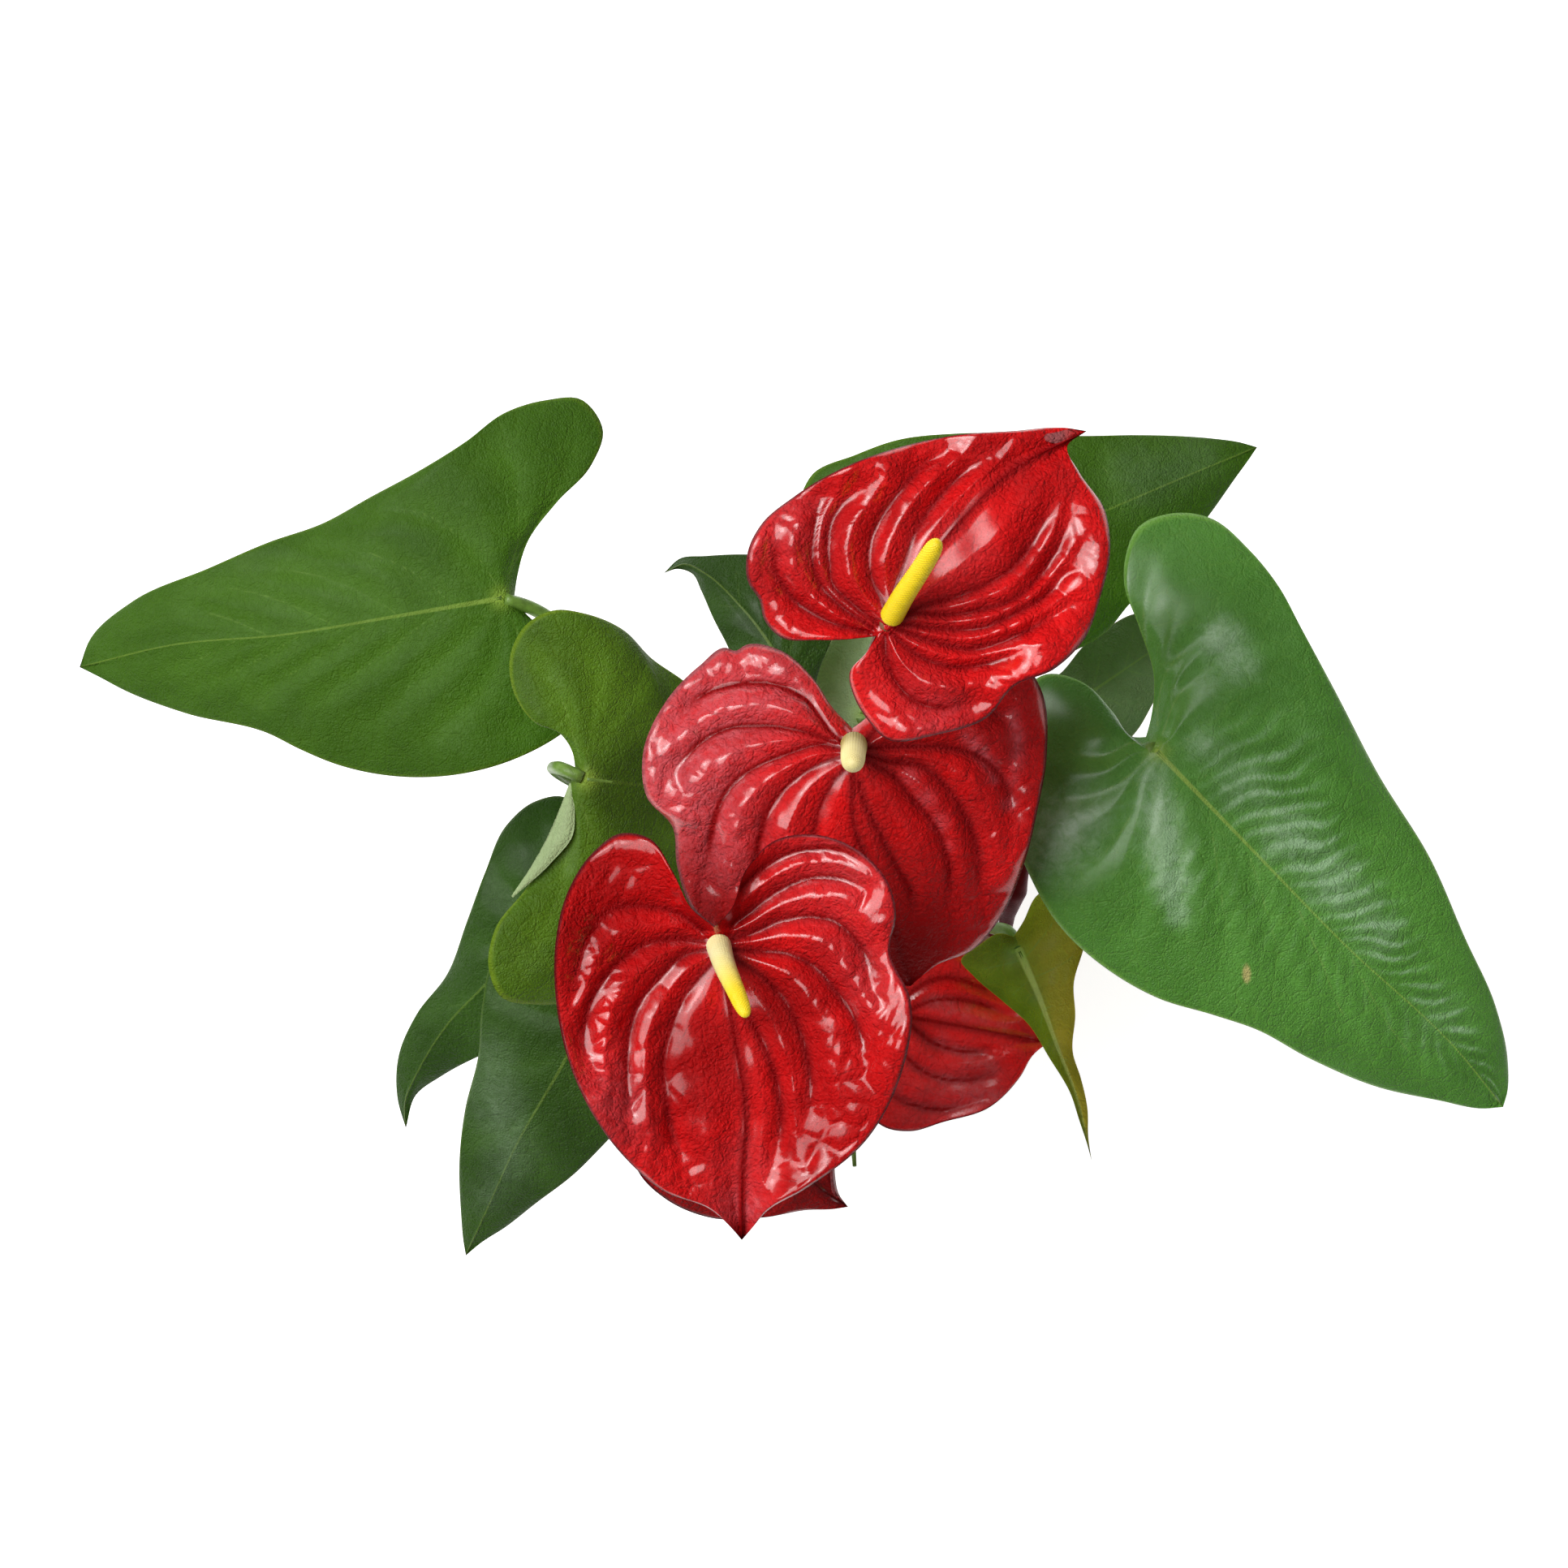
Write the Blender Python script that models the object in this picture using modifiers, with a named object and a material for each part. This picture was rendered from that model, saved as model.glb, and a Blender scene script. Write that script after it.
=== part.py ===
"""A potted flamingo flower: ten heart-shaped leaves, five blooms, a bud and a rolled leaf in a plain pot.

Run with: blender --background --python part.py
Metres, +Z up. The origin is the middle of the pot's flat base, and +Y is the top of the overhead view.
"""

import math
from dataclasses import dataclass

import bmesh
import bpy
import numpy as np

# Driving dimensions, in metres
SPREAD = 0.387
POT_HEIGHT = 0.108
POT_RIM_RADIUS = 0.060
POT_BASE_RADIUS = 0.0435
POT_WALL = 0.0016
RIM_DEPTH = 0.014
RIM_STEP = 0.0025
DRAIN_RADIUS = 0.0045
DRAIN_RING = 0.028
DRAIN_HOLES = 6
SOIL_TOP = 0.097
SOIL_CROWNING = 0.002
CLEARANCE = 0.0003
LEAF_DEPTH = 0.00095
SPATHE_DEPTH = 0.0014
PETIOLE_RADIUS = 0.0019
STALK_RADIUS = 0.0024
HOLE_DEPTH = 0.018
INNER_FEET = 0.0125
OUTER_FEET = 0.0215
CROWN_RADIUS = 0.0065
CROWN_HEIGHT = 0.012
POT_EDGE = 0.0008
POT_FILLET = 0.0024
SOIL_FILLET = 0.0030
STEM_HOLE_GAP = 0.0005
STEM_HOLE_REACH = 0.010
STEM_BEND = 0.005

# Stem radii spread evenly from the blade, or for the rolled leaf and the bud from the foot
PETIOLE_TAPER = (0.85, 0.8, 0.9, 1.0, 1.0)
STALK_TAPER = (0.8, 0.85, 1.0, 1.0)
ROLLED_RADII = (0.0018, 0.0018, 0.0020, 0.0021, 0.0014, 0.0006)
BUD_RADII = (0.0022,) * 11 + (0.0020, 0.0022, 0.0036, 0.0012)

# Spadix relief, and how far the cutters that trim stalks and spadices reach past a spathe's faces
SPADIX_RINGS = 14
FLORET = 0.0003
OVER_SPATHE = 0.010
UNDER_SPATHE = 0.012

# The overhead view that the outlines were read from by hand, in its own pixels
SPREAD_PIXELS = 1760
PIXEL = SPREAD / SPREAD_PIXELS
POT_AXIS = (1020, 1030)
VIEW_CENTRE = (966, 966)
EYE_HEIGHT = 1.90
TRUE_SCALE_HEIGHT = 0.30

STEM_SIDES = 1  # a curve's bevel_resolution: six sides
SPADIX_SIDES = 10
TURN_STEPS = 36


@dataclass
class Blade:
    """A heart-shaped leaf or spathe. Outlines are in view pixels, heights in millimetres."""

    name: str
    pole: tuple
    notch: tuple
    tip: tuple
    left: list
    right: list
    height: float
    pitch: float = 0.0
    sag: float = 0.0
    roll: float = 0.0
    cup: float = 0.0
    wave: float = 0.0
    waves: float = 3.0
    phase: float = 0.0
    puff: float = 0.6
    veins: tuple = (0.0, 0.16, 0.34, 0.52, 0.72, 1.0)
    sweep: float = 0.12
    turn: float = 30.0
    midrib: tuple = ()
    crowding: float = 2.2
    rows: int = 16
    columns: int = 4
    depth: float = LEAF_DEPTH


SPATHE_FRONT = Blade(
    name="spathe_front",
    pole=(886, 1164),
    notch=(880, 1142),
    tip=(914, 1528),
    left=[
        (852, 1119), (829, 1074), (800, 1033), (764, 1027), (732, 1049), (699, 1100), (685, 1157),
        (685, 1233), (707, 1325), (764, 1420), (817, 1467), (878, 1492), (903, 1515),
    ],
    right=[
        (899, 1123), (920, 1070), (954, 1036), (1000, 1028), (1053, 1045), (1093, 1085), (1104, 1127),
        (1096, 1169), (1122, 1233), (1110, 1325), (1068, 1404), (992, 1465), (943, 1494), (926, 1514),
    ],
    midrib=((901, 1256), (918, 1370), (914, 1450)),
    height=342, pitch=0.02, sag=-12, cup=7, wave=2.2, waves=3.5, puff=2.6,
    veins=(0.0, 0.11, 0.22, 0.35, 0.5, 0.68, 1.0),
    rows=20, depth=SPATHE_DEPTH,
)

SPATHE_MIDDLE = Blade(
    name="spathe_middle",
    pole=(1052, 925),
    notch=(1050, 897),
    tip=(1122, 1215),
    left=[
        (1027, 873), (1001, 835), (961, 801), (913, 796), (862, 820), (818, 868), (792, 930), (797, 982),
        (829, 1020), (834, 1066), (854, 1121), (880, 1143), (925, 1165), (990, 1192), (1060, 1212),
    ],
    right=[
        (1066, 885), (1088, 852), (1120, 815), (1165, 795), (1215, 793), (1258, 812), (1283, 850),
        (1290, 927), (1278, 1000), (1260, 1070), (1232, 1132), (1199, 1170), (1151, 1191), (1133, 1205),
    ],
    midrib=((1052, 1018), (1085, 1100)),
    height=322, pitch=-0.10, sag=-16, cup=-8, wave=2.0, waves=3.0, phase=1.0, puff=2.4,
    veins=(0.0, 0.11, 0.22, 0.34, 0.48, 0.68, 1.0),
    rows=20, depth=SPATHE_DEPTH,
)

SPATHE_TOP = Blade(
    name="spathe_top",
    pole=(1096, 766),
    notch=(1079, 784),
    tip=(1339, 531),
    left=[
        (1053, 787), (1009, 789), (960, 784), (941, 762), (936, 740), (922, 718), (922, 677), (938, 646),
        (978, 612), (1053, 570), (1108, 551), (1179, 536), (1247, 531), (1312, 527),
    ],
    right=[
        (1068, 803), (1047, 828), (1053, 860), (1067, 884), (1091, 910), (1155, 905), (1216, 884),
        (1250, 845), (1298, 825), (1335, 789), (1356, 735), (1368, 677), (1361, 628), (1330, 582),
        (1315, 550),
    ],
    midrib=((1182, 643), (1247, 580)),
    height=382, pitch=0.06, sag=-12, cup=-2, wave=2.4, waves=4.0, phase=0.5, puff=2.6,
    veins=(0.0, 0.10, 0.21, 0.33, 0.47, 0.66, 1.0),
    rows=20, depth=SPATHE_DEPTH,
)

SPATHE_LOWER_RIGHT = Blade(
    name="spathe_lower_right",
    pole=(1104, 1250),
    notch=(1086, 1247),
    tip=(1292, 1284),
    left=[
        (1072, 1225), (1076, 1190), (1100, 1165), (1145, 1156), (1190, 1168), (1240, 1207), (1272, 1250),
    ],
    right=[
        (1071, 1268), (1060, 1300), (1060, 1335), (1068, 1370), (1090, 1389), (1121, 1394), (1161, 1383),
        (1220, 1364), (1257, 1327), (1273, 1300),
    ],
    height=200, pitch=0.10, sag=-1, cup=-3, wave=1.2, puff=2.2,
    depth=SPATHE_DEPTH,
)

SPATHE_BOTTOM = Blade(
    name="spathe_bottom",
    pole=(900, 1322),
    notch=(886, 1306),
    tip=(1045, 1487),
    left=[
        (855, 1300), (806, 1330), (775, 1385), (789, 1448), (821, 1478), (878, 1501), (943, 1500),
        (995, 1491), (1025, 1490),
    ],
    right=[
        (892, 1280), (930, 1266), (985, 1290), (1020, 1345), (1030, 1400), (1027, 1448), (1033, 1475),
    ],
    midrib=((960, 1400), (1012, 1466)),
    height=252, pitch=-0.18, sag=-6, cup=-2, wave=1.2, puff=1.6,
    depth=SPATHE_DEPTH,
)

LEAF_FAR_LEFT = Blade(
    name="leaf_far_left",
    pole=(618, 737),
    notch=(633, 740),
    tip=(98, 822),
    left=[
        (637, 712), (649, 670), (686, 619), (728, 574), (743, 530), (716, 492), (672, 493), (621, 509),
        (574, 544), (518, 579), (457, 612), (397, 645), (331, 668), (257, 700), (163, 741), (110, 789),
    ],
    right=[
        (653, 761), (690, 790), (722, 840), (715, 885), (695, 902), (635, 935), (551, 956), (481, 956),
        (415, 942), (369, 923), (331, 904), (229, 879), (154, 851), (120, 833),
    ],
    midrib=((490, 759), (350, 782), (210, 795)),
    height=238, pitch=0.02, sag=-34, cup=-5, wave=2.0, waves=3.0, puff=1.2,
    rows=20,
)

LEAF_LEFT_CURLED = Blade(
    name="leaf_left_curled",
    pole=(722, 960),
    notch=(709, 948),
    tip=(960, 985),
    left=[
        (705, 926), (690, 904), (660, 891), (633, 853), (629, 806), (649, 769), (682, 752), (721, 756),
        (768, 776), (804, 812), (840, 837), (890, 880), (935, 935),
    ],
    right=[
        (701, 970), (678, 1033), (649, 1093), (610, 1145), (602, 1192), (617, 1228), (664, 1238),
        (720, 1230), (790, 1190), (850, 1132), (905, 1080), (945, 1030),
    ],
    height=262, pitch=-0.42, sag=-18, cup=-6, wave=2.5, waves=2.5, phase=2.0, puff=1.2,
    rows=18, crowding=2.0, turn=45,
)

LEAF_LOWER_LEFT_OUTER = Blade(
    name="leaf_lower_left_outer",
    pole=(700, 1092),
    notch=(716, 1078),
    tip=(500, 1390),
    left=[
        (722, 1040), (715, 1000), (695, 982), (660, 987), (623, 1018), (598, 1074), (575, 1136),
        (551, 1200), (513, 1250), (491, 1301), (490, 1355),
    ],
    right=[
        (745, 1085), (770, 1120), (765, 1180), (720, 1240), (660, 1275), (589, 1302), (544, 1326),
        (512, 1350),
    ],
    midrib=((596, 1215), (553, 1260), (516, 1318), (499, 1358)),
    height=178, pitch=-0.08, sag=-22, cup=-5, wave=1.2, puff=1.0,
    rows=14,
)

LEAF_LOWER_LEFT_INNER = Blade(
    name="leaf_lower_left_inner",
    pole=(740, 1215),
    notch=(754, 1200),
    tip=(574, 1547),
    left=[
        (745, 1165), (700, 1137), (640, 1147), (606, 1185), (594, 1240), (589, 1302), (573, 1367),
        (566, 1430), (568, 1496), (571, 1530),
    ],
    right=[
        (790, 1200), (830, 1228), (840, 1285), (800, 1350), (749, 1405), (706, 1448), (660, 1483),
        (623, 1512), (592, 1532),
    ],
    midrib=((695, 1308), (635, 1413), (600, 1490)),
    height=206, pitch=-0.10, sag=-26, cup=-5, wave=1.2, puff=1.0,
)

LEAF_UPPER_LEFT = Blade(
    name="leaf_upper_left",
    pole=(985, 850),
    notch=(1000, 862),
    tip=(818, 706),
    left=[
        (1004, 846), (1012, 818), (1024, 790), (1034, 750), (1020, 710), (980, 688), (920, 683), (868, 685),
        (838, 688),
    ],
    right=[
        (990, 893), (948, 888), (915, 850), (899, 802), (878, 760), (864, 728), (853, 707), (834, 701),
    ],
    midrib=((915, 750), (868, 706), (845, 695)),
    height=236, pitch=0.05, sag=-16, cup=-4, wave=1.0, puff=1.0,
    rows=14,
)

LEAF_UPPER_RIGHT = Blade(
    name="leaf_upper_right",
    pole=(1190, 705),
    notch=(1172, 714),
    tip=(1549, 551),
    left=[
        (1130, 692), (1060, 668), (1004, 640), (988, 612), (998, 588), (1055, 560), (1102, 543),
        (1180, 534), (1250, 534), (1330, 537), (1400, 536), (1450, 537), (1492, 540), (1528, 545),
    ],
    right=[
        (1160, 745), (1172, 796), (1228, 826), (1290, 818), (1328, 800), (1357, 784), (1392, 744),
        (1430, 705), (1489, 636), (1523, 588), (1541, 563),
    ],
    midrib=((1356, 632), (1502, 570)),
    height=250, pitch=0.03, sag=-20, cup=-4, wave=1.6, puff=1.0,
    rows=18,
)

LEAF_RIGHT = Blade(
    name="leaf_right",
    pole=(1426, 926),
    notch=(1412, 908),
    tip=(1852, 1364),
    left=[
        (1417, 890), (1421, 867), (1422, 835), (1403, 771), (1385, 717), (1386, 691), (1403, 649),
        (1448, 632), (1491, 638), (1539, 677), (1576, 723), (1603, 773), (1645, 851), (1699, 955),
        (1763, 1059), (1805, 1155), (1843, 1240), (1858, 1309), (1857, 1347),
    ],
    right=[
        (1396, 908), (1371, 877), (1333, 840), (1288, 831), (1256, 856), (1238, 905), (1234, 960),
        (1244, 1020), (1264, 1069), (1304, 1139), (1368, 1197), (1427, 1230), (1496, 1251), (1549, 1269),
        (1613, 1304), (1699, 1340), (1773, 1356), (1827, 1366),
    ],
    midrib=((1539, 1043), (1656, 1163), (1800, 1299)),
    height=284, pitch=0.02, sag=-44, cup=-6, wave=2.0, waves=3.0, puff=1.3,
    rows=20, turn=42,
)

LEAF_YOUNG_BRONZE = Blade(
    name="leaf_young_bronze",
    pole=(1256, 1172),
    notch=(1249, 1154),
    tip=(1345, 1430),
    left=[
        (1232, 1150), (1206, 1165), (1184, 1184), (1198, 1201), (1237, 1235), (1267, 1262),
        (1292, 1302), (1320, 1350), (1329, 1378), (1341, 1415),
    ],
    right=[
        (1260, 1137), (1278, 1103), (1312, 1088), (1342, 1115), (1336, 1165), (1323, 1213),
        (1325, 1250), (1322, 1297), (1332, 1329), (1340, 1366), (1341, 1401),
    ],
    midrib=((1279, 1225), (1303, 1290), (1326, 1350)),
    height=226, pitch=-0.06, sag=-14, cup=5, wave=1.0, puff=0.8,
    rows=14,
)

LEAF_RIGHT_SHADED = Blade(
    name="leaf_right_shaded",
    pole=(1296, 886),
    notch=(1280, 896),
    tip=(1466, 770),
    left=[
        (1268, 872), (1280, 848), (1307, 829), (1336, 795), (1365, 773), (1395, 757), (1432, 756),
    ],
    right=[
        (1292, 925), (1330, 938), (1370, 928), (1398, 904), (1421, 866), (1440, 830), (1455, 798),
    ],
    height=226, pitch=0.0, sag=-8, cup=-3, wave=0.8, puff=0.8,
    rows=14,
)

LEAF_CENTRE_BACK = Blade(
    name="leaf_centre_back",
    pole=(1062, 880),
    notch=(1062, 900),
    tip=(1108, 680),
    left=[
        (1032, 904), (1004, 876), (1003, 835), (1024, 790), (1056, 740), (1088, 704),
    ],
    right=[
        (1092, 904), (1122, 878), (1132, 830), (1130, 770), (1120, 716),
    ],
    height=214, pitch=0.06, sag=-6, cup=-3, wave=0.8, puff=0.8,
    rows=14,
)

# Each stem's route: view pixels and height in millimetres, from the blade's pole down towards its foot
LEAF_STEMS = [
    (LEAF_FAR_LEFT, 146, [(622, 738, -1.0), (650, 747, 233), (700, 775, 226), (800, 850, 192),
                          (915, 935, 140)]),
    (LEAF_LEFT_CURLED, 172, [(718, 958, -1.0), (700, 950, 261), (684, 946, 250), (692, 956, 222),
                             (760, 985, 178), (860, 1005, 140)]),
    (LEAF_LOWER_LEFT_OUTER, 198, [(704, 1088, -1.0), (730, 1076, 172), (800, 1072, 152), (880, 1062, 128)]),
    (LEAF_LOWER_LEFT_INNER, 224, [(744, 1211, -1.0), (765, 1190, 198), (820, 1160, 176), (900, 1112, 134)]),
    (LEAF_UPPER_LEFT, 112, [(986, 853, -1.0), (981, 872, 226), (974, 905, 182), (978, 930, 130)]),
    (LEAF_UPPER_RIGHT, 56, [(1186, 707, -1.0), (1166, 722, 243), (1160, 800, 214), (1135, 880, 176),
                            (1095, 930, 134)]),
    (LEAF_RIGHT, 0, [(1422, 922, -1.0), (1400, 925, 274), (1320, 962, 230), (1225, 1000, 172),
                     (1150, 1022, 128)]),
    (LEAF_YOUNG_BRONZE, 325, [(1255, 1170, -0.5), (1244, 1150, 222), (1222, 1143, 216), (1180, 1125, 184),
                              (1130, 1100, 132)]),
    (LEAF_RIGHT_SHADED, 30, [(1292, 888, -1.0), (1268, 902, 219), (1210, 935, 184), (1140, 965, 132)]),
    (LEAF_CENTRE_BACK, 82, [(1062, 883, -1.0), (1060, 902, 206), (1050, 918, 160), (1038, 930, 126)]),
]

BLOOMS = [
    (SPATHE_FRONT, 200, [(884, 1160, 3), (879, 1168, 330), (872, 1174, 296), (894, 1148, 244),
                         (945, 1094, 170), (972, 1060, 124)]),
    (SPATHE_MIDDLE, 130, [(1052, 930, 3), (1048, 938, 308), (1030, 958, 250), (1005, 980, 178),
                          (988, 988, 128)]),
    (SPATHE_TOP, 50, [(1094, 768, 3), (1086, 786, 362), (1066, 838, 324), (1086, 912, 252),
                      (1074, 966, 174), (1058, 984, 124)]),
    (SPATHE_LOWER_RIGHT, 310, [(1102, 1250, 3), (1096, 1244, 188), (1080, 1180, 160), (1060, 1110, 126)]),
    (SPATHE_BOTTOM, 252, [(898, 1320, 3), (902, 1306, 240), (935, 1240, 204), (975, 1160, 158),
                          (1000, 1100, 124)]),
]

# Each spadix: centreline in view pixels and height above the spathe's pole in millimetres, and its radii
SPADICES = [
    ("spadix_front", SPATHE_FRONT, [(884, 1160, -1), (893, 1190, 10), (907, 1222, 19),
                                    (920, 1252, 26)], 3.3, 1.9),
    ("spadix_middle", SPATHE_MIDDLE, [(1052, 917, -2), (1052, 922, 10), (1051, 932, 22),
                                      (1051, 942, 31)], 3.5, 3.0),
    ("spadix_top", SPATHE_TOP, [(1096, 764, -1), (1115, 731, 9), (1136, 699, 17),
                                (1156, 666, 25)], 3.0, 2.3),
    ("spadix_lower_right", SPATHE_LOWER_RIGHT, [(1102, 1250, -1), (1106, 1256, 7),
                                                (1110, 1263, 14)], 2.6, 1.6),
    ("spadix_bottom", SPATHE_BOTTOM, [(902, 1324, -1), (918, 1342, 9), (934, 1360, 18)], 2.8, 1.7),
]

ROLLED_LEAF = (275, [(1024, 1112, 118), (1030, 1170, 142), (1040, 1290, 170), (1050, 1390, 182),
                     (1053, 1437, 186)])
BUD = (0, [(1092, 1036, 110), (1142, 1062, 134), (1212, 1132, 168), (1236, 1152, 190), (1242, 1126, 200),
           (1250, 1098, 208), (1264, 1062, 216)])

COLOURS = {
    "pot": ((0.36, 0.13, 0.07), 0.55),
    "soil": ((0.035, 0.022, 0.014), 0.95),
    "crown": ((0.14, 0.12, 0.05), 0.8),
    "leaf": ((0.05, 0.16, 0.03), 0.32),
    "leaf_curled": ((0.10, 0.24, 0.02), 0.35),
    "leaf_young": ((0.12, 0.14, 0.02), 0.28),
    "spathe": ((0.50, 0.01, 0.012), 0.22),
    "spadix": ((0.85, 0.65, 0.03), 0.6),
    "stalk": ((0.14, 0.20, 0.05), 0.45),
    "bud": ((0.18, 0.01, 0.015), 0.3),
}


def clear_scene():
    for thing in list(bpy.data.objects):
        bpy.data.objects.remove(thing)


def new_collection(name):
    group = bpy.data.collections.new(name)
    bpy.context.scene.collection.children.link(group)
    return group


def finish(name):
    """The named material, made once."""
    if name in bpy.data.materials:
        return bpy.data.materials[name]
    colour, roughness = COLOURS[name]
    material = bpy.data.materials.new(name)
    material.use_nodes = True
    shader = material.node_tree.nodes["Principled BSDF"]
    shader.inputs["Base Color"].default_value = (*colour, 1.0)
    shader.inputs["Roughness"].default_value = roughness
    return material


def add_part(name, mesh, colour):
    part = bpy.data.objects.new(name, mesh)
    part.data.materials.append(finish(colour))
    PLANT.objects.link(part)
    return part


def add_helper(name, mesh):
    """An object that only shapes another one through a Boolean."""
    helper = bpy.data.objects.new(name, mesh)
    helper.hide_render = True
    helper.display_type = "WIRE"
    CUTTERS.objects.link(helper)
    return helper


def add_boolean(part, helper, operation):
    boolean = part.modifiers.new(helper.name, "BOOLEAN")
    boolean.operation = operation
    boolean.solver = "EXACT"
    boolean.object = helper


def smooth_curve(points, steps):
    """Places on a smooth curve through the points, where steps runs from 0 to 1 along its chords.

    Each stretch is a cubic that leaves its ends along the slope of the neighbouring points.
    """
    points = np.array(points, float)
    chords = np.linalg.norm(np.diff(points, axis=0), axis=1)
    knots = np.concatenate([[0.0], np.cumsum(chords)]) / chords.sum()
    slopes = np.gradient(points, knots, axis=0)
    first = np.clip(np.searchsorted(knots, steps, side="right") - 1, 0, len(knots) - 2)
    width = (knots[first + 1] - knots[first])[..., None]
    f = (steps - knots[first])[..., None] / width
    start = (1 + 2 * f) * (1 - f) ** 2 * points[first] + f * (1 - f) ** 2 * width * slopes[first]
    end = f**2 * (3 - 2 * f) * points[first + 1] + f**2 * (f - 1) * width * slopes[first + 1]
    return start + end


def in_space(plan, height):
    """View pixels at a height in millimetres, as places in metres. What is nearer the eye looks larger."""
    scale = PIXEL * (EYE_HEIGHT - height / 1000) / (EYE_HEIGHT - TRUE_SCALE_HEIGHT)
    x = (VIEW_CENTRE[0] - POT_AXIS[0]) * PIXEL + (plan[..., 0] - VIEW_CENTRE[0]) * scale
    y = (POT_AXIS[1] - VIEW_CENTRE[1]) * PIXEL - (plan[..., 1] - VIEW_CENTRE[1]) * scale
    return np.stack([x, y, height / 1000], axis=-1)


def side_of(blade, outline, axis):
    """1 or -1: which way a ray towards this side's outline is turned to face the tip."""
    offset = np.mean(outline, axis=0) - np.array(blade.pole, float)
    return np.sign(offset[0] * axis[1] - offset[1] * axis[0])


def blade_surface(blade, t, u):
    """Places on a blade's upper face. t runs from the sinus, 0, round the margin to the tip, 1.

    u is -1 at the left margin, 0 on the midrib and 1 at the right margin. A ray joins each place on the
    midrib to the place of the same t on the margin. It leaves the midrib turned towards the tip, as veins
    do, and bends back on its way out. Over that plan the height is a slope, a
    sag with the square of the distance from the pole, a cup with the square of u, waves that grow
    towards the margin, and puffs between sunken veins that sweep towards the tip.
    """
    left = smooth_curve([blade.notch, *blade.left, blade.tip], t)
    right = smooth_curve([blade.notch, *blade.right, blade.tip], t)
    margin = np.where((u < 0)[..., None], left, right)
    spine = smooth_curve([blade.pole, *blade.midrib, blade.tip], 0.15 * t + 0.85 * t**blade.crowding)
    across = np.abs(u)
    axis = np.subtract(blade.tip, blade.pole).astype(float)
    length = np.linalg.norm(axis)
    axis /= length
    ray = margin - spine
    turn = np.radians(blade.turn) * np.sin(np.pi * np.sqrt(t)) * (1 - across)
    turn *= np.where(u < 0, side_of(blade, blade.left, axis), side_of(blade, blade.right, axis))
    turned_x = ray[..., 0] * np.cos(turn) - ray[..., 1] * np.sin(turn)
    turned_y = ray[..., 0] * np.sin(turn) + ray[..., 1] * np.cos(turn)
    plan = spine + np.stack([turned_x, turned_y], axis=-1) * across[..., None]

    offset = plan - np.array(blade.pole, float)
    forward = offset @ axis
    sideways = offset @ np.array([-axis[1], axis[0]])
    millimetres = PIXEL * 1000

    swept = t - blade.sweep * across**2 * (1 - t)
    between = np.interp(swept, blade.veins, np.arange(len(blade.veins)))
    puffs = blade.puff * np.abs(np.sin(np.pi * between)) * across**0.6 * (1 - across**5)
    waves = blade.wave * across**3 * np.sin(2 * np.pi * blade.waves * t + blade.phase + np.sign(u))
    height = (
        blade.height
        + blade.pitch * forward * millimetres
        + blade.sag * (forward / length) ** 2
        + blade.roll * sideways * millimetres
        + blade.cup * across**2 * (1 - t**6)
        + waves * np.sqrt(np.clip(np.sin(np.pi * t), 0, 1))
        + puffs
    )
    return in_space(plan, height)


def blade_slab(blade, above, below):
    """A closed solid that follows the blade, from so far above its upper face to so far below it."""
    sheet = bmesh.new()
    bmesh.ops.create_grid(sheet, x_segments=blade.rows, y_segments=2 * blade.columns, size=0.5)
    t = np.array([corner.co.x + 0.5 for corner in sheet.verts])
    u = np.array([2 * corner.co.y for corner in sheet.verts])
    places = blade_surface(blade, np.clip(t, 0, 1), np.where(np.abs(u) < 1e-6, 0.0, u))
    for corner, place in zip(sheet.verts, places):
        corner.co = place
        corner.co.z += above
    bmesh.ops.remove_doubles(sheet, verts=sheet.verts, dist=1e-5)
    bmesh.ops.triangulate(sheet, faces=sheet.faces)
    copy = bmesh.ops.extrude_face_region(sheet, geom=sheet.faces[:] + sheet.edges[:], use_keep_orig=True)
    for piece in copy["geom"]:
        if isinstance(piece, bmesh.types.BMVert):
            piece.co.z -= above + below
    return closed_mesh(sheet, blade.name)


def closed_mesh(sheet, name):
    bmesh.ops.recalc_face_normals(sheet, faces=sheet.faces)
    mesh = bpy.data.meshes.new(name)
    sheet.to_mesh(mesh)
    sheet.free()
    mesh.shade_smooth()
    return mesh


def stem_mesh(name, places, radii, steps):
    """A tapered round stem along a smooth route, as a closed mesh."""
    at = np.linspace(0, 1, steps)
    route = smooth_curve(places, at)
    widths = np.interp(at, np.linspace(0, 1, len(radii)), radii)
    curve = bpy.data.curves.new(name, "CURVE")
    curve.dimensions = "3D"
    curve.bevel_depth = 1.0
    curve.bevel_resolution = STEM_SIDES
    curve.use_fill_caps = True
    spline = curve.splines.new("POLY")
    spline.points.add(steps - 1)
    for point, place, width in zip(spline.points, route, widths):
        point.co = (*place, 1.0)
        point.radius = width
    guide = bpy.data.objects.new(name, curve)
    CUTTERS.objects.link(guide)
    bpy.context.view_layer.update()
    mesh = bpy.data.meshes.new_from_object(guide.evaluated_get(bpy.context.evaluated_depsgraph_get()))
    bpy.data.objects.remove(guide)
    stem = bmesh.new()
    stem.from_mesh(mesh)
    bmesh.ops.remove_doubles(stem, verts=stem.verts, dist=1e-6)
    return closed_mesh(stem, name)


def foot_of(angle, ring):
    return ring * math.cos(math.radians(angle)), ring * math.sin(math.radians(angle))


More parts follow.
